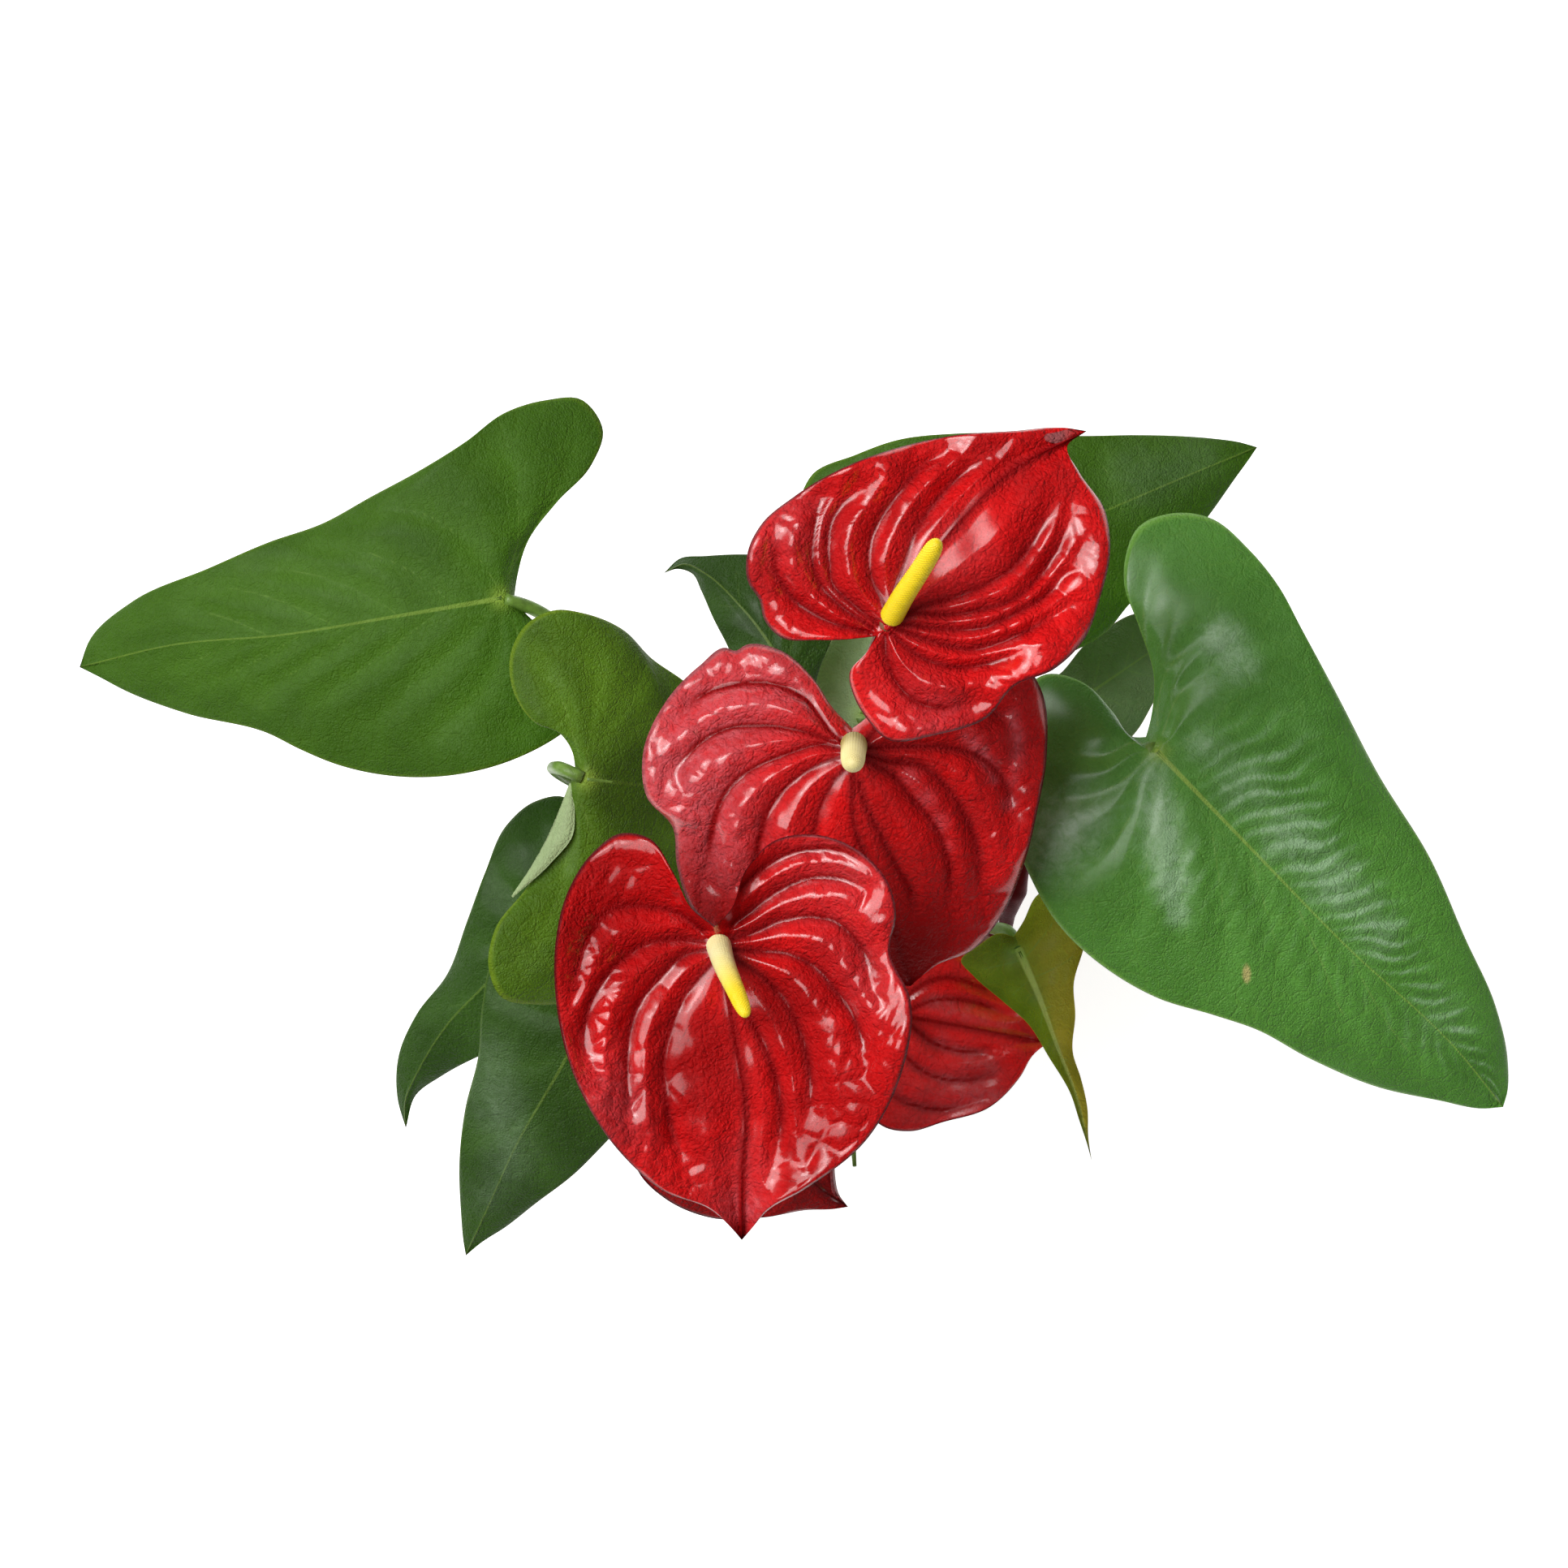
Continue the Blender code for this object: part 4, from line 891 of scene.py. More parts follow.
class Shell:
    """Corners, quads, material numbers and named values of a piece while it is put together."""

    def __init__(self):
        self.places, self.quads, self.finishes, self.values = [], [], [], {}
        self.count = 0

    def add(self, places, quads, finish=0, **values):
        self.places.append(places.reshape(-1, 3))
        self.quads.append(quads + self.count)
        self.finishes.append(np.full(len(quads), finish, np.int32))
        size = len(self.places[-1])
        for name in set(values) | set(self.values):
            filled = self.values.setdefault(name, [np.zeros(self.count)])
            given = values.get(name)
            filled.append(np.zeros(size) if given is None else np.asarray(given, float).reshape(-1))
        self.count += size

    def build(self, name, materials):
        """Welds the seams, drops what has no area and puts the arrays into a mesh object at the origin."""
        places = np.concatenate(self.places)
        quads = np.concatenate(self.quads)
        finishes = np.concatenate(self.finishes)
        rounded = np.round(places / 2e-6).astype(np.int64)
        _, first, index = np.unique(rounded, axis=0, return_index=True, return_inverse=True)
        quads = index.reshape(-1)[quads]
        triangles = np.concatenate([quads[:, [0, 1, 2]], quads[:, [0, 2, 3]]])
        finishes = np.concatenate([finishes, finishes])
        whole = (triangles[:, 0] != triangles[:, 1]) & (triangles[:, 1] != triangles[:, 2])
        whole &= triangles[:, 0] != triangles[:, 2]
        triangles, finishes = triangles[whole], finishes[whole]
        mesh = bpy.data.meshes.new(name)
        mesh.vertices.add(len(first))
        mesh.vertices.foreach_set("co", places[first].astype(np.float32).ravel())
        mesh.loops.add(triangles.size)
        mesh.loops.foreach_set("vertex_index", triangles.ravel().astype(np.int32))
        mesh.polygons.add(len(triangles))
        mesh.polygons.foreach_set("loop_start", np.arange(0, triangles.size, 3, dtype=np.int32))
        mesh.polygons.foreach_set("material_index", finishes)
        for label, parts in self.values.items():
            attribute = mesh.attributes.new(label, "FLOAT", "POINT")
            attribute.data.foreach_set("value", np.concatenate(parts)[first].astype(np.float32))
        mesh.update(calc_edges=True)
        mesh.validate()
        mesh.shade_smooth()
        piece = bpy.data.objects.new(name, mesh)
        for material in materials:
            mesh.materials.append(material)
        bpy.context.scene.collection.objects.link(piece)
        return piece


def stand_for(piece, node):
    """The piece rides with the plant and hides its CAD node."""
    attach(piece, "root")
    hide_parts(node)


class Recipe:
    """A material or node group being put together: adds nodes, links them and sets plain values."""

    def __init__(self, tree):
        self.tree = tree

    def add(self, kind, settings=None, **inputs):
        node = self.tree.nodes.new(kind)
        for name, value in (settings or {}).items():
            setattr(node, name, value)
        return self.fill(node, **inputs)

    def fill(self, node, **inputs):
        """Puts the values into the node's inputs, with an underscore for each space in their names."""
        for name, value in inputs.items():
            self.put(node.inputs[name.replace("_", " ")], value)
        return node

    def put(self, socket, value):
        if isinstance(value, bpy.types.NodeSocket):
            self.tree.links.new(value, socket)
        else:
            socket.default_value = value

    def attribute(self, name):
        return self.add("ShaderNodeAttribute", {"attribute_name": name}).outputs["Fac"]

    def here(self):
        return self.add("ShaderNodeTexCoord").outputs["Object"]

    def maths(self, operation, first, second=0.0, third=0.0):
        node = self.add("ShaderNodeMath", {"operation": operation})
        for socket, value in zip(node.inputs, (first, second, third)):
            self.put(socket, value)
        return node.outputs[0]

    def span(self, value, low, high, first=0.0, last=1.0):
        """The value's place between low and high, eased, as first to last."""
        node = self.add(
            "ShaderNodeMapRange", {"interpolation_type": "SMOOTHSTEP"}, Value=value, From_Min=low,
            From_Max=high, To_Min=first, To_Max=last,
        )
        return node.outputs["Result"]

    def blend(self, share, first, second):
        """The first colour where the share is 0, the second where it is 1."""
        node = self.add("ShaderNodeMix", {"data_type": "RGBA"})
        self.put(node.inputs[0], share)
        self.put(node.inputs[6], first)
        self.put(node.inputs[7], second)
        return node.outputs[2]

    def cover(self, base, over, mask, share):
        """The base colour with the other one over it, as far as the mask times the share says."""
        return self.blend(self.maths("MULTIPLY", mask, share), base, over)

    def noise(self, scale, detail=4.0, roughness=0.55, place=None, stretch=None, distortion=0.0):
        place = place or self.here()
        if stretch:
            place = self.add("ShaderNodeMapping", Vector=place, Scale=stretch).outputs["Vector"]
        node = self.add(
            "ShaderNodeTexNoise", Vector=place, Scale=scale, Detail=detail, Roughness=roughness,
            Distortion=distortion,
        )
        return node.outputs["Fac"]

    def cells(self, scale, feature="F1", place=None):
        node = self.add(
            "ShaderNodeTexVoronoi", {"feature": feature}, Vector=place or self.here(), Scale=scale
        )
        return node.outputs["Distance"]

    def warped(self, place, scale, reach):
        """The place moved about by noise, as far as reach metres."""
        warp = self.add("ShaderNodeTexNoise", Vector=place, Scale=scale, Detail=2.0)
        moved = self.add("ShaderNodeVectorMath", {"operation": "MULTIPLY_ADD"})
        for socket, value in zip(moved.inputs, (warp.outputs["Color"], (reach, reach, reach), place)):
            self.put(socket, value)
        return moved.outputs[0]


def colour(values):
    return (*values, 1.0)


def new_group(name, inputs, outputs):
    """A node group with the given sockets, its recipe, and its input and output nodes."""
    group = bpy.data.node_groups.new(name, "ShaderNodeTree")
    for direction, sockets in (("INPUT", inputs), ("OUTPUT", outputs)):
        for label, kind, default in sockets:
            socket = group.interface.new_socket(label, in_out=direction, socket_type=kind)
            if default is not None:
                socket.default_value = default
    recipe = Recipe(group)
    return group, recipe, recipe.add("NodeGroupInput"), recipe.add("NodeGroupOutput")


def leather_group():
    """The fine grain of living leaf tissue: a height and a mask of small raised cells, and slow blotches."""
    group, recipe, given, result = new_group(
        "Leaf Grain",
        [("Cell Scale", "NodeSocketFloat", 900.0)],
        [("Height", "NodeSocketFloat", None), ("Cells", "NodeSocketFloat", None),
         ("Blotches", "NodeSocketFloat", None)],
    )
    size = given.outputs["Cell Scale"]
    place = recipe.here()
    wall = recipe.cells(size, "DISTANCE_TO_EDGE", recipe.warped(place, 180.0, 0.003))
    cells = recipe.span(wall, 0.0, 0.35)
    fine = recipe.noise(2600.0, 3.0, 0.6, place)
    height = recipe.maths("MULTIPLY_ADD", fine, 0.35, cells)
    blotches = recipe.noise(38.0, 5.0, 0.6, place, distortion=0.6)
    recipe.fill(result, Height=height, Cells=cells, Blotches=blotches)
    return group


def vein_group():
    """Masks of a blade's veins from its own attributes: the thin veins, the midrib and the rim."""
    group, recipe, given, result = new_group(
        "Blade Veins",
        [("Vein Width", "NodeSocketFloat", 0.35), ("Rib Width", "NodeSocketFloat", 0.8)],
        [("Veins", "NodeSocketFloat", None), ("Midrib", "NodeSocketFloat", None),
         ("Rim", "NodeSocketFloat", None), ("Net", "NodeSocketFloat", None)],
    )
    vein_gap, rib_gap = recipe.attribute("vein_gap"), recipe.attribute("rib_gap")
    wander = recipe.maths("MULTIPLY_ADD", recipe.noise(260.0, 2.0), 0.4, -0.2)
    wandering = recipe.maths("ADD", vein_gap, wander)
    width = given.outputs["Vein Width"]
    veins = recipe.span(recipe.maths("ABSOLUTE", wandering), width, recipe.maths("MULTIPLY", width, 0.2))
    rib_width = recipe.maths(
        "MULTIPLY", given.outputs["Rib Width"], recipe.span(recipe.attribute("along"), 0.0, 0.95, 1.0, 0.3)
    )
    midrib = recipe.span(rib_gap, rib_width, recipe.maths("MULTIPLY", rib_width, 0.45))
    net = recipe.cells(170.0, "DISTANCE_TO_EDGE", recipe.warped(recipe.here(), 120.0, 0.006))
    rim = recipe.span(recipe.attribute("edge"), 0.972, 0.995)
    recipe.fill(result, Veins=veins, Midrib=midrib, Rim=rim, Net=recipe.span(net, 0.07, 0.0))
    return group


def new_material(name):
    material = bpy.data.materials.new(name)
    material.use_nodes = True
    recipe = Recipe(material.node_tree)
    shader = material.node_tree.nodes["Principled BSDF"]
    return material, recipe, shader


def group_node(recipe, name, maker, **inputs):
    """A node of the named group, which is made the first time that it is asked for."""
    group = bpy.data.node_groups.get(name) or maker()
    return recipe.add("ShaderNodeGroup", {"node_tree": group}, **inputs)


def bump(recipe, shader, height, strength, distance):
    node = recipe.add("ShaderNodeBump", Strength=strength, Distance=distance, Height=height)
    recipe.put(shader.inputs["Normal"], node.outputs["Normal"])


def spathe_material(blade):
    """Waxy red: sunken veins and the grooves along them darker as painted shade, painted pink sheen and
    painted shade in patches, a maroon rim, a fine leathery grain under a clear coat.
    """
    name = blade.name.replace("_", " ").title() + " Wax"
    fresh, shaded = np.array(colours().spathe) * blade.tone, np.array(colours().spathe_dark) * blade.tone
    material, recipe, shader = new_material(name)
    grain = group_node(recipe, "Leaf Grain", leather_group, Cell_Scale=640.0)
    veins = group_node(recipe, "Blade Veins", vein_group, Vein_Width=0.9, Rib_Width=1.1)
    blotches = recipe.span(grain.outputs["Blotches"], 0.32, 0.66)
    red = recipe.blend(blotches, colour(fresh), colour(fresh * (0.66, 0.5, 0.6)))
    # Painted shade: the grooves along the veins, and the sunken veins more, are darkened with the Spathe
    # Shade red; the fine net takes a faint touch of it
    groove = recipe.span(recipe.maths("MINIMUM", recipe.attribute("vein_gap"), recipe.attribute("rib_gap")),
                         2.6, 0.0)
    red = recipe.cover(red, colour(shaded), groove, 0.7)
    sunken = recipe.maths("MAXIMUM", veins.outputs["Veins"], veins.outputs["Midrib"])
    red = recipe.cover(red, colour(shaded * 0.6), sunken, 0.4)
    red = recipe.cover(red, colour(shaded), veins.outputs["Net"], 0.10)
    # Painted sheen: the pale patches get a pink painted highlight with a leathery texture
    leathery = recipe.span(recipe.noise(420.0, 5.0, 0.65, distortion=0.5), 0.25, 0.7)
    painted_sheen_and_fold_underside = recipe.maths("MULTIPLY", recipe.attribute("pale"),
                        recipe.maths("MULTIPLY_ADD", leathery, 0.42, 0.16))
    # Painted shade in the dark patches
    red = recipe.cover(red, colour(fresh * 0.34), recipe.attribute("dark"), 0.7)
    red = recipe.cover(red, (0.045, 0.003, 0.006, 1.0), veins.outputs["Rim"], 0.85)
    under = recipe.attribute("under")
    pale = recipe.blend(blotches, (0.34, 0.045, 0.035, 1.0), (0.26, 0.03, 0.03, 1.0))
    red = recipe.blend(under, red, pale)
    # The painted sheen's pink on the upper face; on rolled-over tips, the paler grey-pink of the underside
    bloom = recipe.blend(under, (0.76, 0.16, 0.19, 1.0), (0.36, 0.17, 0.19, 1.0))
    painted_sheen_and_fold_underside = recipe.maths("MULTIPLY_ADD", recipe.maths("MULTIPLY", under, recipe.attribute("pale")), 0.6, painted_sheen_and_fold_underside)
    # The painted sheen fades out towards the vein grooves; on the lower right spathe it reaches further into
    # them
    clear_groove = 0.85 if blade.name == "spathe_lower_right" else 0.4
    red = recipe.cover(red, bloom, painted_sheen_and_fold_underside, recipe.span(groove, 1.0, clear_groove))
    rough = recipe.maths("MULTIPLY_ADD", grain.outputs["Cells"], -0.06, 0.42)
    dull = recipe.maths("MAXIMUM", veins.outputs["Rim"], recipe.maths("MULTIPLY", sunken, 0.9))
    waxy = recipe.maths("MULTIPLY_ADD", dull, -0.88, 0.95)
    waxy = recipe.maths("MULTIPLY_ADD", recipe.attribute("dark"), -0.75, waxy)
    recipe.fill(shader, Base_Color=red, Roughness=recipe.maths("MULTIPLY_ADD", under, 0.2, rough),
                Specular_IOR_Level=0.08, Coat_Weight=recipe.maths("MAXIMUM", waxy, 0.03),
                Coat_Roughness=0.18, Coat_IOR=1.55)
    slow = recipe.noise(260.0, 3.0, 0.6, distortion=0.6)
    quick = recipe.noise(760.0, 4.0, 0.62, distortion=0.4)
    relief = recipe.maths("MULTIPLY_ADD", slow, 2.8, recipe.maths("MULTIPLY", quick, 2.6))
    relief = recipe.maths("MULTIPLY_ADD", grain.outputs["Cells"], 0.6, relief)
    bump(recipe, shader, recipe.maths("MULTIPLY_ADD", veins.outputs["Net"], -0.45, relief), 0.85, 0.0004)
    return material


LEAF_TINTS = {
    # tint: colour property, its darker share, how far veins show, coat, roughness, specular level
    "leaf_green": ("leaf_green", 0.68, 0.26, 0.50, 0.42, 0.16),
    "leaf_warm": ("leaf_warm", 0.66, 0.14, 0.04, 0.50, 0.12),
    "leaf_dark": ("leaf_dark", 0.62, 0.05, 0.12, 0.45, 0.14),
    "leaf_grey": ("leaf_grey", 0.70, 0.10, 0.06, 0.50, 0.16),
    "leaf_curled": ("leaf_curled", 0.48, 0.16, 0.05, 0.45, 0.12),
    "leaf_young": ("leaf_young", 0.55, 0.35, 0.22, 0.40, 0.20),
}


def leaf_material(blade):
    """Waxy green with slow changes of tone, pale veins and a net of finer ones, painted sheen and painted
    shade in patches and on the flanks of the cross wrinkles. The underside is paler.
    """
    name = "Waxy " + (blade.tint if blade.tone == 1 else blade.name).replace("_", " ").title()
    known = bpy.data.materials.get(name)
    if known:
        return known
    tint, shade, show, coat, rough, specular = LEAF_TINTS[blade.tint]
    light = np.array(getattr(colours(), tint)) * blade.tone
    dark = light * (shade, shade * 1.05, shade * 0.9)
    material, recipe, shader = new_material(name)
    grain = group_node(recipe, "Leaf Grain", leather_group, Cell_Scale=1100.0)
    young, glossy = blade.tint == "leaf_young", blade.tint == "leaf_green"
    veins = group_node(recipe, "Blade Veins", vein_group, Vein_Width=0.40, Rib_Width=1.5 if young else 0.95)
    between = recipe.span(recipe.attribute("vein_gap"), 0.0, 7.0)
    mottle = recipe.span(grain.outputs["Blotches"], 0.32, 0.68)
    tone = recipe.maths("MULTIPLY_ADD", mottle, 0.55, recipe.maths("MULTIPLY", between, 0.45))
    green = recipe.blend(tone, colour(light), colour(dark))
    if young:
        bronze = recipe.span(recipe.attribute("side"), -0.15, 0.25)
        green = recipe.blend(bronze, green, recipe.blend(mottle, (0.62, 0.52, 0.055, 1),
                                                         (0.42, 0.38, 0.035, 1)))
    yellowed = colour(light * (1.9, 1.25, 1.0))
    green = recipe.cover(green, yellowed, veins.outputs["Net"], 0.3 * show)
    green = recipe.cover(green, colour(colours().leaf_vein), veins.outputs["Veins"], show)
    base_of_rib = recipe.span(recipe.attribute("along"), 0.0, 0.8, 1.0, 0.5)
    rib_share = show + (0.65 if young else 0.45 if glossy else 0.25)
    rib = recipe.maths("MULTIPLY", veins.outputs["Midrib"], recipe.maths("MULTIPLY", base_of_rib, rib_share))
    rib_colour = (0.74, 0.84, 0.26, 1.0) if young else colour(np.multiply(colours().leaf_vein,
                                                                          (1.3, 1.2, 0.9)))
    green = recipe.blend(rib, green, rib_colour)
    under = recipe.attribute("under")
    # Painted highlight: the lit flanks of the cross wrinkles and the pale patches take a painted sheen with a
    # leathery texture; on rolled-over margins the paler underside shows
    leathery = recipe.span(recipe.noise(300.0, 5.0, 0.65, distortion=0.5), 0.25, 0.75)
    texture = recipe.maths("MULTIPLY_ADD", leathery, 0.55 if glossy else 0.25, 0.45)
    flank = recipe.attribute("flank")
    lit = recipe.maths("MULTIPLY_ADD", recipe.maths("MAXIMUM", flank, 0.0), 0.7, recipe.attribute("pale"))
    painted_sheen_and_fold_underside = recipe.maths("MULTIPLY", recipe.span(recipe.maths("MULTIPLY", lit, texture), 0.05, 0.80),
                        0.72 if glossy else 0.6)
    painted_sheen_and_fold_underside = recipe.maths("MAXIMUM", painted_sheen_and_fold_underside, recipe.maths("MULTIPLY", under, recipe.attribute("pale")))
    # Painted shade on the wrinkle flanks that face the tip and in the dark patches
    shade_share = recipe.maths("MULTIPLY_ADD",
                               recipe.maths("MAXIMUM", recipe.maths("MULTIPLY", flank, -1.0), 0.0),
                               0.6, recipe.attribute("dark"))
    green = recipe.cover(green, colour(light * 0.35), shade_share, 0.8)
    heart = recipe.maths("MULTIPLY", recipe.attribute("centre"), 0.55)
    green = recipe.blend(heart, green, colour(np.multiply(colours().leaf_vein, (1.2, 1.15, 0.7))))
    green = recipe.blend(recipe.span(recipe.attribute("scar"), 0.15, 0.7), green, (0.50, 0.46, 0.16, 1.0))
    rim = recipe.maths("MULTIPLY", veins.outputs["Rim"], 0.45)
    green = recipe.blend(rim, green, colour(light * (2.1, 1.5, 1.3)))
    pale = recipe.blend(mottle, colour(light * 1.25 + (0.10, 0.11, 0.05)),
                        colour(light * 1.1 + (0.05, 0.06, 0.03)))
    green = recipe.blend(under, green, pale)
    # The painted sheen's colour on the upper face, and the paler underside of rolled-over margins
    sheen = (0.46, 0.68, 0.42, 1.0) if glossy else (0.30, 0.42, 0.27, 1.0)
    bloom = recipe.blend(under, sheen, (0.38, 0.48, 0.25, 1.0))
    green = recipe.cover(green, bloom, painted_sheen_and_fold_underside, 0.85)
    rough = recipe.maths("MULTIPLY_ADD", grain.outputs["Cells"], -0.05, rough + 0.03)
    recipe.fill(shader, Base_Color=green, Roughness=recipe.maths("MULTIPLY_ADD", under, 0.18, rough),
                Specular_IOR_Level=specular, Coat_Weight=coat, Coat_Roughness=0.22)
    fine = recipe.maths("MULTIPLY_ADD", veins.outputs["Net"], -0.8, grain.outputs["Height"])
    fine = recipe.maths("MULTIPLY_ADD", recipe.noise(300.0, 3.0, 0.6, distortion=0.5), 4.0, fine)
    bump(recipe, shader, fine, 0.6, 0.0003)
    return material


# Each kind of stem: colour at its top, then lower down, and the share of its length between the two
STEM_TINTS = {
    "petiole": ((0.17, 0.30, 0.05), (0.085, 0.15, 0.03), 0.5),
    "stalk": ((0.26, 0.10, 0.05), (0.11, 0.15, 0.035), 0.6),
    "rolled": ((0.10, 0.16, 0.04), (0.14, 0.26, 0.03), 0.8),
    "bud": ((0.10, 0.09, 0.03), (0.10, 0.003, 0.008), 0.7),
}


def stem_material(kind):
    """Smooth stem: one colour flows into another along it, with faint long streaks and pale flecks."""
    name = kind.title() + " Skin"
    known = bpy.data.materials.get(name)
    if known:
        return known
    first, last, reach = STEM_TINTS[kind]
    if kind == "stalk":
        last = tuple(colours().stalk)
    material, recipe, shader = new_material(name)
    grain = group_node(recipe, "Leaf Grain", leather_group, Cell_Scale=1500.0)
    change = recipe.span(recipe.attribute("along"), 0.0, reach)
    skin = recipe.blend(change, colour(first), colour(last))
    streaks = recipe.span(recipe.noise(420.0, 3.0, 0.6, stretch=(1.0, 1.0, 0.08)), 0.35, 0.7)
    skin = recipe.cover(skin, colour(np.multiply(last, 0.45)), streaks, 0.4)
    flecks = recipe.span(recipe.cells(420.0), 0.16, 0.06)
    skin = recipe.cover(skin, colour(np.clip(np.multiply(last, 2.4), 0, 1)), flecks, 0.3)
    specular, coat = (0.06, 0.0) if kind == "bud" else (0.3, 0.12)
    recipe.fill(shader, Base_Color=skin, Roughness=recipe.maths("MULTIPLY_ADD", streaks, 0.12, 0.34),
                Specular_IOR_Level=specular, Coat_Weight=coat, Coat_Roughness=0.25)
    bump(recipe, shader, grain.outputs["Height"], 0.3, 0.00015)
    return material


# Where along each spadix its cream foot turns to the colour of its end
SPADIX_RIPENING = {
    "spathe_front": (0.22, 0.80),
    "spathe_middle": (0.30, 0.80),
    "spathe_top": (-0.30, 0.10),
    "spathe_lower_right": (0.0, 0.5),
    "spathe_bottom": (0.0, 0.5),
}


def spadix_material(blade):
    """Florets: cream at the foot, yellow above, each with a darker seam round it and tiny pale stigmas."""
    ripe = blade.name == "spathe_middle"
    name = blade.name.replace("spathe", "Spadix").replace("_", " ").title()
    known = bpy.data.materials.get(name)
    if known:
        return known
    material, recipe, shader = new_material(name)
    start, stop = SPADIX_RIPENING[blade.name]
    change = recipe.span(recipe.attribute("along"), start, stop)
    foot = (0.46, 0.36, 0.10) if ripe else tuple(colours().spadix_base)
    end = (0.92, 0.82, 0.36) if ripe else tuple(colours().spadix)
    body = recipe.blend(change, colour(foot), colour(end))
    floret = recipe.attribute("floret")
    seam = recipe.span(floret, 0.32, 0.02)
    seam_colour = (0.42, 0.26, 0.06) if ripe else (0.86, 0.54, 0.010)
    body = recipe.cover(body, colour(seam_colour), seam, 0.5)
    stigma = recipe.span(floret, 0.93, 0.99)
    body = recipe.cover(body, (0.95, 0.92, 0.72, 1.0), stigma, 0.75)
    uneven = recipe.span(recipe.noise(240.0, 3.0), 0.3, 0.7)
    body = recipe.cover(body, colour(np.multiply(end, (0.9, 0.78, 0.6))), uneven, 0.18)
    recipe.fill(shader, Base_Color=body, Roughness=recipe.maths("MULTIPLY_ADD", seam, 0.2, 0.42),
                Coat_Weight=0.12, Coat_Roughness=0.3)
    bump(recipe, shader, recipe.noise(3200.0, 2.0), 0.2, 0.0001)
    return material


def pot_material():
    """Matte moulded plastic: a fine even grain, faint vertical flow marks and soil dust near the base."""
    material, recipe, shader = new_material("Pot Plastic")
    plain = tuple(colours().pot)
    flow = recipe.span(recipe.noise(60.0, 3.0, 0.5, stretch=(1.0, 1.0, 0.12)), 0.35, 0.65)
    body = recipe.cover(colour(plain), colour(np.multiply(plain, 0.78)), flow, 0.35)
    scuffs = recipe.span(recipe.noise(900.0, 2.0, 0.7, stretch=(1.0, 1.0, 0.3)), 0.66, 0.74)
    body = recipe.cover(body, colour(np.add(np.multiply(plain, 1.1), 0.05)), scuffs, 0.3)
    height = recipe.add("ShaderNodeSeparateXYZ", Vector=recipe.here()).outputs["Z"]
    low = recipe.span(height, 0.03, 0.0)
    dust = recipe.maths("MULTIPLY", low, recipe.span(recipe.noise(140.0, 5.0, 0.65), 0.42, 0.68))
    body = recipe.cover(body, (0.10, 0.075, 0.05, 1.0), dust, 0.6)
    recipe.fill(shader, Base_Color=body, Roughness=recipe.maths("MULTIPLY_ADD", flow, 0.1, 0.46))
    bump(recipe, shader, recipe.noise(2400.0, 3.0, 0.6), 0.25, 0.0001)
    return material


def soil_material():
    """Dark peat with lighter fibres, bits of bark and a few white grains."""
    material, recipe, shader = new_material("Potting Mix")
    peat = tuple(colours().soil)
    coarse = recipe.span(recipe.noise(240.0, 6.0, 0.7, distortion=0.8), 0.35, 0.68)
    body = recipe.blend(coarse, colour(np.multiply(peat, 0.45)), colour(np.multiply(peat, 1.5)))
    bark = recipe.span(recipe.cells(150.0), 0.30, 0.14)
    body = recipe.cover(body, (0.13, 0.065, 0.028, 1.0), bark, 0.7)
    place = recipe.add("ShaderNodeMapping", Vector=recipe.here(),
                       Location=(0.01, 0.02, 0.0)).outputs["Vector"]
    grains = recipe.span(recipe.cells(110.0, place=place), 0.13, 0.09)
    body = recipe.blend(grains, body, (0.62, 0.60, 0.54, 1.0))
    recipe.fill(shader, Base_Color=body, Roughness=recipe.maths("MULTIPLY_ADD", coarse, -0.15, 0.95))
    bump(recipe, shader, recipe.noise(900.0, 6.0, 0.7), 0.8, 0.0006)
    return material


def crown_material():
    """The rhizome: brown and green in rings, with dry fibres and paler root tips."""
    material, recipe, shader = new_material("Rhizome Bark")
    rings = recipe.span(recipe.noise(180.0, 4.0, 0.6, stretch=(1.0, 1.0, 5.0)), 0.35, 0.65)
    body = recipe.blend(rings, (0.16, 0.10, 0.045, 1.0), (0.13, 0.17, 0.05, 1.0))
    fibres = recipe.span(recipe.noise(700.0, 3.0, 0.6, stretch=(1.0, 1.0, 0.2)), 0.55, 0.66)
    body = recipe.cover(body, (0.30, 0.20, 0.09, 1.0), fibres, 0.6)
    recipe.fill(shader, Base_Color=body, Roughness=recipe.maths("MULTIPLY_ADD", fibres, 0.1, 0.72))
    bump(recipe, shader, fibres, 0.6, 0.0005)
    return material


